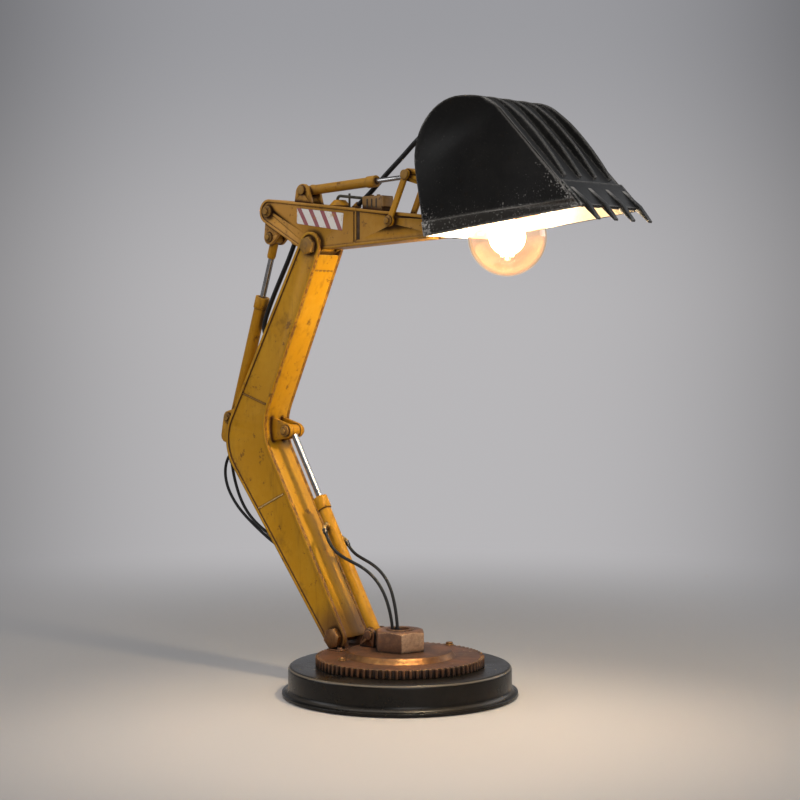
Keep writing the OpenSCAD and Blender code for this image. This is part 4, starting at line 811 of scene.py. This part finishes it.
def breakEdges(piece, width):
    breaker = piece.modifiers.new("edgeBreak", "BEVEL")
    breaker.width = width
    breaker.segments = 2
    breaker.limit_method = "ANGLE"
    breaker.angle_limit = edgeBreak["angle"]
    breaker.use_clamp_overlap = True
    breaker.harden_normals = True


def dressNode(name, material):
    source = frame["nodes"][name]
    bm = bmesh.new()
    bm.from_mesh(source.data)
    bmesh.ops.remove_doubles(bm, verts=bm.verts, dist=skinClean["join"])
    bmesh.ops.dissolve_limit(bm, angle_limit=skinClean["flat"], verts=bm.verts, edges=bm.edges)
    splitLarge(bm)
    for face in bm.faces:
        face.material_index = 0
    if name in faceZones:
        bm.normal_update()
        for face in bm.faces:
            face.material_index = int(faceZones[name][1](face.calc_center_median(), face.normal))
    if name in skinSlack:
        bm.normal_update()
        for vert in bm.verts:
            vert.co -= vert.normal * skinSlack[name]
    piece = newPiece(name + "_skin", bm, material, source["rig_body"])
    if name in faceZones:
        piece.data.materials.append(finish[faceZones[name][0]])
    for edge in piece.data.edges:
        edge.use_edge_sharp = False
    breakEdges(piece, edgeBreak["special"].get(name, edgeBreak["width"]))
    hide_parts(name)


for material, names in dressing.items():
    for name in names:
        dressNode(name, material)
print("solids dressed:", sum(len(names) for names in dressing.values()))


probeFrom = 300  # well outside the arm


# where a straight probe, in millimetres, first meets a solid
def probe(node, start, way):
    bm = bmesh.new()
    bm.from_mesh(frame["nodes"][node].data)
    place = BVHTree.FromBMesh(bm).ray_cast(Vector(start) * mm, Vector(way))[0]
    bm.free()
    return place


# bolt shapes: radii as shares of the head's, heights in millimetres or as a share of the head's
boltShape = {"washer": 1.22, "washerTop": 1.12, "washerSide": 0.35, "washerThick": 0.6, "flank": 0.72,
             "crown": 0.82, "turns": 24, "sides": 6}


def hexBoltInto(bm, origin, way, flats, height, look=boltShape):
    r = flats / math.sqrt(3)
    thick = look["washerThick"]
    washer = [(0, 0), (r * look["washer"], 0), (r * look["washer"], look["washerSide"]),
              (r * look["washerTop"], thick), (0, thick)]
    head = [(0, thick), (r, thick), (r, thick + height * look["flank"]), (r * look["crown"], thick + height),
            (0, thick + height)]
    latheInto(bm, washer, origin, way, look["turns"])
    latheInto(bm, head, origin, way, look["sides"])


# bolt heads on the pins, both sides: solid, place in the arm's plane, width over flats, height
pinBolts = {
    "boom_pin_bolts": {"body": "boom", "at": [
        ("boom_ram_pins", -123.5, 208.0, 4.6, 1.4), ("boom_ram_pins", -194.0, 216.5, 4.6, 1.4)]},
    "stick_pin_bolts": {"body": "stick", "at": [
        ("stick_pins", -141.5, 392.8, 5.2, 1.6), ("stick_pins", -143.3, 371.3, 4.4, 1.3),
        ("stick_pins", 0.2, 379.9, 4.2, 1.3)]},
}


def makePinBolts(name, look):
    bm = bmesh.new()
    for node, x, z, flats, height in look["at"]:
        for side in (-1, 1):
            place = probe(node, (x, side * probeFrom, z), (0, -side, 0))
            hexBoltInto(bm, place, (0, side, 0), flats, height)
    newPiece(name, bm, "bolt", look["body"], smooth=False)


for name, look in pinBolts.items():
    makePinBolts(name, look)

# small bolts in the gear's face
gearBolts = {"at": [(-18.9, -47.5), (-4.4, 65.6)], "top": 31.3, "flats": 5.4, "height": 1.7}


def makeGearBolts(look):
    bm = bmesh.new()
    for x, y in look["at"]:
        hexBoltInto(bm, Vector((x, y, look["top"])) * mm, (0, 0, 1), look["flats"], look["height"])
    newPiece("gear_bolts", bm, "hub", "turntable", smooth=False)


makeGearBolts(gearBolts)

# warning stripes on both sides of the stick, clipped to their patch
stripes = {"corners": [(-107.3, 394.3), (-53.4, 388.1), (-55.1, 374.0), (-107.4, 381.5)], "period": 0.248,
           "redShare": 0.38, "lean": 0.17, "face": 9.7, "thick": 0.12, "bands": range(-1, 5)}


def clipStripe(points, limit, keepBelow):
    kept = []
    for (s0, t0), (s1, t1) in zip(points, points[1:] + points[:1]):
        in0 = (s0 <= limit) == keepBelow or s0 == limit
        in1 = (s1 <= limit) == keepBelow or s1 == limit
        if in0:
            kept.append((s0, t0))
        if in0 != in1:
            part = (limit - s0) / (s1 - s0)
            kept.append((limit, t0 + part * (t1 - t0)))
    return kept


def makeStripes(look):
    a, b, c, d = [Vector(p) for p in look["corners"]]
    red = look["redShare"]
    bands = (("stripes_red", "foilRed", 0, red), ("stripes_white", "foilWhite", red, 1))
    for name, material, low, high in bands:
        bm = bmesh.new()
        for k in look["bands"]:
            start = (k + low) * look["period"]
            end = (k + high) * look["period"]
            band = [(start, 0), (end, 0), (end + look["lean"], 1), (start + look["lean"], 1)]
            band = clipStripe(clipStripe(band, 0.0, False), 1.0, True)
            if len(band) < 3:
                continue
            outline = [(1 - t) * ((1 - s) * a + s * b) + t * ((1 - s) * d + s * c) for s, t in band]
            platesInto(bm, outline, look["face"], look["face"] + look["thick"])
        newPiece(name, bm, material, "stick", smooth=False)


makeStripes(stripes)

# weld beads: two seams on each side of the boom, the lower one pale as a painted highlight, and stitches
# across its front plate
welds = {"seams": [((-172, 239), (-142, 230)), ((-151, 141), (-121, 155))], "face": 13.3, "radius": 0.75,
         "step": 0.45, "fewest": 4, "sides": 8, "ripple": 0.28, "pace": 1.05, "thin": 0.8,
         "stitchHeight": 342.0, "stitchFrom": 100,
         "stitches": [(-10, -7), (-5.5, -2.5), (-1, 2), (3.5, 6.5), (8, 10.5)]}


def beadInto(bm, start, end, radius, look=welds):
    count = max(look["fewest"], round((end - start).length / (look["step"] * mm)))
    path = [start.lerp(end, k / count) for k in range(count + 1)]
    tubeInto(bm, path, radius * mm, look["sides"],
             lambda i: 1 - look["ripple"] * (1 - abs(math.sin(i * look["pace"]))))


def makeWelds(look):
    bead = bmesh.new()
    bm = bmesh.new()
    for mesh, ((x0, z0), (x1, z1)) in zip((bm, bead), look["seams"]):
        for side in (-1, 1):
            y = side * look["face"]
            beadInto(mesh, Vector((x0, y, z0)) * mm, Vector((x1, y, z1)) * mm, look["radius"])
    newPiece("low_weld", bead, "highlitBead", "boom")
    for ends in look["stitches"]:
        starts = [(look["stitchFrom"], y, look["stitchHeight"]) for y in ends]
        places = [probe("boom_front_plate", start, (-1, 0, 0)) for start in starts]
        beadInto(bm, *places, look["radius"] * look["thin"])
    newPiece("boom_welds", bm, "bolt", "boom")


makeWelds(welds)

# curved plate that closes the stick round its pivot
shroud = {"x": -88.4, "z": 362.4, "outer": 8.5, "inner": 7.3, "half": 7.9, "from": 150, "to": 352,
          "steps": 36}


def arcPoints(look, radius, turns):
    return [(look["x"] + radius * math.cos(t), look["z"] + radius * math.sin(t)) for t in turns]


def makeShroud(look):
    steps = look["steps"]
    turns = [math.radians(look["from"] + (look["to"] - look["from"]) * k / steps) for k in range(steps + 1)]
    bm = bmesh.new()
    outline = arcPoints(look, look["outer"], turns) + arcPoints(look, look["inner"], turns[::-1])
    plateInto(bm, outline, -look["half"], look["half"])
    splitLarge(bm)
    newPiece("head_shroud", bm, "ochre", "stick", smooth=False)


makeShroud(shroud)

# ribs down the bucket's front: arched over the straight wall, fading out on the crown
ribs = {"count": 4, "pitch": 18.6, "thick": 2.0, "height": 2.6, "arch": 4.2, "fade": 0.4, "lean": 0.9,
        "lip": (207.4, 381.6), "start": 31.2, "crown": (101.9, 423.7), "radius": 44.9, "wallTurn": 44.96,
        "endTurn": 76.5, "sunk": 0.6, "steps": 44, "edge": 0.45}


def ribOutline(look):
    wallTurn = math.radians(look["wallTurn"])
    lip = Vector(look["lip"])
    crown = Vector(look["crown"])
    out = Vector((math.cos(wallTurn), math.sin(wallTurn)))
    up = Vector((-out.y, out.x))
    wallEnd = (crown + look["radius"] * out - lip).dot(up)
    total = wallEnd - look["start"] + look["radius"] * (math.radians(look["endTurn"]) - wallTurn)
    crest, foot = [], []
    for k in range(look["steps"] + 1):
        share = k / look["steps"]
        along = look["start"] + share * total
        turn = wallTurn + max(0.0, along - wallEnd) / look["radius"]
        normal = Vector((math.cos(turn), math.sin(turn)))
        base = lip + along * up if along < wallEnd else crown + look["radius"] * normal
        rise = look["height"] * min(1.0, (1 - share) / look["fade"])
        rise += look["arch"] * math.sin(math.pi * share ** look["lean"])
        crest.append(base + rise * normal)
        foot.append(base - look["sunk"] * normal)
    return crest + foot[::-1]


def makeRibs(look):
    outline = ribOutline(look)
    bm = bmesh.new()
    for k in range(look["count"]):
        y = (k - (look["count"] - 1) / 2) * look["pitch"]
        plateInto(bm, outline, y - look["thick"] / 2, y + look["thick"] / 2)
    splitLarge(bm)
    piece = newPiece("bucket_ribs_skin", bm, "bucket", "bucket")
    breakEdges(piece, look["edge"] * mm)
    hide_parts("bucket_ribs")


makeRibs(ribs)

# painted end on the arm ram's rod, turned about the rod
rodEnd = {"eye": (-143.3, 0, 371.3), "foot": (-194.0, 0, 216.5),
          "profile": [(0, 4.5), (3.7, 4.5), (3.7, 16.5), (3.1, 18.5), (0, 18.5)], "turns": 28}


def makeRodEnd(look):
    eye = Vector(look["eye"])
    bm = bmesh.new()
    way = (Vector(look["foot"]) - eye).normalized()
    latheInto(bm, look["profile"], eye * mm, way, look["turns"])
    newPiece("arm_rod_end", bm, "ochre", "arm_rod", smooth=False)


makeRodEnd(rodEnd)

# dark joint across the stick's sides, with a raised lip behind it, and slots in the valve block
stickJoint = {"face": 9.7, "sunk": 0.2, "parts": {
    "groove": {"finish": "jointGrime", "thick": 0.1,
               "outline": [(-38.6, 366.0), (-35.2, 366.2), (-35.2, 391.4), (-38.6, 391.8)]},
    "lip": {"finish": "stick", "thick": 0.5,
            "outline": [(-40.0, 365.9), (-38.6, 366.0), (-38.6, 391.8), (-40.0, 391.9)]},
}}
valveSlots = {"x": [-30.5, -25.5, -20.5], "wide": 1.1, "low": 391.5, "high": 398.5, "face": 6.5,
              "thick": 0.25, "sunk": 0.2}


def makeStickJoint(look):
    for name, part in look["parts"].items():
        bm = bmesh.new()
        platesInto(bm, part["outline"], look["face"] - look["sunk"], look["face"] + part["thick"])
        newPiece("stick_joint_" + name, bm, part["finish"], "stick", smooth=False)


def makeValveSlots(look):
    bm = bmesh.new()
    for x in look["x"]:
        end = x + look["wide"]
        outline = [(x, look["low"]), (end, look["low"]), (end, look["high"]), (x, look["high"])]
        platesInto(bm, outline, look["face"] - look["sunk"], look["face"] + look["thick"])
    newPiece("valve_slots", bm, "darkPipe", "stick", smooth=False)


makeStickJoint(stickJoint)
makeValveSlots(valveSlots)
print("bolts, stripes, welds, shroud and small fittings added")

# bulb: blown globe, glass stem and a cage of hot wire
bulb = {"x": 110.4, "z": 364.0, "globe": 30.0, "wall": 0.9, "neck": 12.8, "neckTop": 51.9, "slope": 40,
        "turns": 64, "globeSteps": 28, "neckSteps": 10}
cage = {"low": -15.0, "high": 15.0, "radius": 8.0, "waist": 0.55, "twist": 0.6, "strands": 8, "steps": 24,
        "wire": 0.42, "wireSides": 8, "rod": 1.1, "rodTip": 2, "flare": 4.0, "flareRise": 8, "foot": 7.5,
        "footDrop": 4, "turns": 24}


def globeProfile(look, wall):
    radius = look["globe"] - wall
    top = look["neckTop"] - wall
    points = [(0, -radius)]
    for k in range(1, look["globeSteps"] + 1):
        a = math.radians(-90 + (90 + look["slope"]) * k / look["globeSteps"])
        points.append((radius * math.cos(a), radius * math.sin(a)))
    startR, startH = points[-1]
    for k in range(1, look["neckSteps"] + 1):
        t = k / look["neckSteps"]
        narrowed = startR + (look["neck"] - wall - startR) * (3 * t ** 2 - 2 * t ** 3)
        points.append((narrowed, startH + (top - startH) * t))
    return points + [(0, top)]


def makeGlobe(look, origin, up):
    bm = bmesh.new()
    latheInto(bm, globeProfile(look, 0), origin, up, look["turns"])
    bmesh.ops.recalc_face_normals(bm, faces=bm.faces)
    outside = set(bm.faces)
    latheInto(bm, globeProfile(look, look["wall"]), origin, up, look["turns"])
    lining = [face for face in bm.faces if face not in outside]
    bmesh.ops.recalc_face_normals(bm, faces=lining)
    bmesh.ops.reverse_faces(bm, faces=lining)
    globe = newPiece("bulb_globe", bm, "glass", "bucket", recalc=False)
    globe.visible_shadow = False
    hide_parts("bulb_glass")


def makeCage(look, origin, up, neckTop):
    bm = bmesh.new()
    for k in range(look["strands"]):
        turn = 2 * math.pi * k / look["strands"]
        wire = []
        for j in range(look["steps"] + 1):
            t = j / look["steps"]
            r = look["radius"] * (look["waist"] + (1 - look["waist"]) * math.sin(math.pi * t))
            twist = turn + look["twist"] * t
            h = look["low"] + (look["high"] - look["low"]) * t
            wire.append(origin + Vector((r * math.cos(twist), r * math.sin(twist), h)) * mm)
        tubeInto(bm, wire, look["wire"] * mm, look["wireSides"])
    tip = look["low"] - look["rodTip"]
    top = neckTop - look["footDrop"]
    stem = [(0, tip), (look["rod"], tip), (look["rod"], look["high"]),
            (look["flare"], look["high"] + look["flareRise"]), (look["foot"], top), (0, top)]
    latheInto(bm, stem, origin, up, look["turns"])
    wires = newPiece("bulb_cage", bm, "filament", "bucket")
    wires.visible_shadow = False
    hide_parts("bulb_filament")


bulbMiddle = Vector((bulb["x"], 0, bulb["z"])) * mm
makeGlobe(bulb, bulbMiddle, (0, 0, 1))
makeCage(cage, bulbMiddle, (0, 0, 1), bulb["neckTop"])
print("bulb made")

# lights: soft boxes at a plain level, and the lit bulb itself
softBoxes = {
    "overhead": {"at": (-0.1, -0.2, 1.75), "size": 1.5, "power": 13.0, "tint": (1.0, 0.985, 0.96)},
    "front": {"at": (1.75, -1.35, 1.0), "size": 1.3, "power": 17.0, "tint": (1.0, 0.985, 0.96)},
    "left": {"at": (-1.2, -1.3, 0.9), "size": 1.0, "power": 8.0, "tint": (0.97, 0.985, 1.0)},
    "back": {"at": (0.5, 1.8, 1.0), "size": 1.2, "power": 8.0, "tint": (0.96, 0.98, 1.0)},
}
boxAim = Vector((0, 0, 0.25))
bulbLight = {"power": 3.2, "tint": (1.0, 0.82, 0.54), "radius": 0.016}


def addLamp(name, kind, look, at):
    data = bpy.data.lights.new(name, kind)
    data.energy = look["power"]
    data.color = look["tint"]
    lamp = bpy.data.objects.new(name, data)
    lamp.location = at
    scene.collection.objects.link(lamp)
    return lamp


def addLights():
    for name, box in softBoxes.items():
        lamp = addLamp(name, "AREA", box, box["at"])
        lamp.data.size = box["size"]
        lamp.rotation_euler = (boxAim - Vector(box["at"])).to_track_quat("-Z", "Y").to_euler()
    lamp = addLamp("bulbLight", "POINT", bulbLight, bulbMiddle)
    lamp.data.shadow_soft_size = bulbLight["radius"]
    lamp.parent = frame["bodies"]["bucket"]


# world and floor: the floor is painted as a pale warm pool of light round the lamp, greyer beyond, and melts
# into the grey backdrop, which darkens upwards
stageLook = {
    "low": (0.48, 0.47, 0.482), "high": (0.325, 0.325, 0.345), "rise": 0.17, "ambient": (0.34, 0.35, 0.37),
    "sideStart": 0.9995, "sideEnd": 0.968, "sideShade": 0.5, "topShade": 0.43,
    "floor": (0.45, 0.412, 0.385), "floorFar": (0.262, 0.252, 0.248), "radius": 14.0,
    "lightPool": (0.1, -0.12, 0.0), "lightPoolStart": 0.12, "lightPoolEnd": 0.4, "fadeStart": 0.3, "fadeEnd": 1.0,
    "fanFrom": (1.0188, -1.1118, 0.2985), "hazeDepth": 0.3, "sides": 96, "rough": 0.75,
}
photoTurn = math.radians(photoView["azimuth"])
photoAhead = (-math.sin(photoTurn), math.cos(photoTurn), 0.0)


# how far a level direction turns from the one the photograph looks along, as a mask
def turnedAside(tree, way, look):
    level = put(tree, "VectorMath", {0: way, 1: (1.0, 1.0, 0.0)}, operation="MULTIPLY").outputs[0]
    level = put(tree, "VectorMath", {0: level}, operation="NORMALIZE").outputs[0]
    return ramp(dotOf(level, photoAhead), look["sideStart"], look["sideEnd"])


def dimmed(colour, share):
    return tuple(share * c for c in colour)


def addStage(look):
    world = bpy.data.worlds.new("studio")
    scene.world = world
    world.use_nodes = True
    tree = world.node_tree
    path = put(tree, "LightPath").outputs
    mirrored = calc("MAXIMUM", path["Is Glossy Ray"], path["Is Transmission Ray"])
    seen = calc("MAXIMUM", path["Is Camera Ray"], mirrored)
    way = put(tree, "TexCoord").outputs["Generated"]
    height = put(tree, "SeparateXYZ", {0: way}).outputs["Z"]
    rise = ramp(height, 0.0, look["rise"])
    wall = blendColour(rise, look["low"], look["high"])
    lowShade = dimmed(look["low"], look["sideShade"])
    shade = blendColour(rise, lowShade, dimmed(look["high"], look["topShade"]))
    wall = blendColour(turnedAside(tree, way, look), wall, shade)
    tree.links.new(blendColour(seen, look["ambient"], wall), tree.nodes["Background"].inputs["Color"])
    bm = bmesh.new()
    bmesh.ops.create_circle(bm, cap_ends=True, segments=look["sides"], radius=look["radius"])
    mesh = bpy.data.meshes.new("floor")
    bm.to_mesh(mesh)
    bm.free()
    floor = bpy.data.objects.new("floor", mesh)
    scene.collection.objects.link(floor)
    material, tree, shader = newMaterial("paleFloor", Roughness=look["rough"])
    place = put(tree, "TexCoord").outputs["Object"]
    # painted pool of light on the floor: paler and warmer round the lamp, greyer further off
    pastLightPool = put(tree, "VectorMath", {0: place, 1: look["lightPool"]}, operation="DISTANCE").outputs["Value"]
    pastLightPool = ramp(pastLightPool, look["lightPoolStart"], look["lightPoolEnd"])
    feed(shader, "Base Color", blendColour(pastLightPool, look["floor"], look["floorFar"]))
    away = put(tree, "VectorMath", {0: place}, operation="LENGTH").outputs["Value"]
    far = ramp(away, look["fadeStart"], look["fadeEnd"])
    fan = put(tree, "VectorMath", {0: place, 1: look["fanFrom"]}, operation="SUBTRACT").outputs[0]
    before = ramp(dotOf(place, photoAhead), look["hazeDepth"], -look["hazeDepth"])
    aside = calc("MAXIMUM", turnedAside(tree, fan, look), before)
    haze = blendColour(aside, look["low"], lowShade)
    mist = put(tree, "Emission", {"Color": haze, "Strength": 1.0}).outputs[0]
    both = put(tree, "MixShader", {0: far, 1: shader.outputs[0], 2: mist}).outputs[0]
    tree.links.new(both, tree.nodes["Material Output"].inputs["Surface"])
    mesh.materials.append(material)


addLights()
addStage(stageLook)
print("stage and lights set")
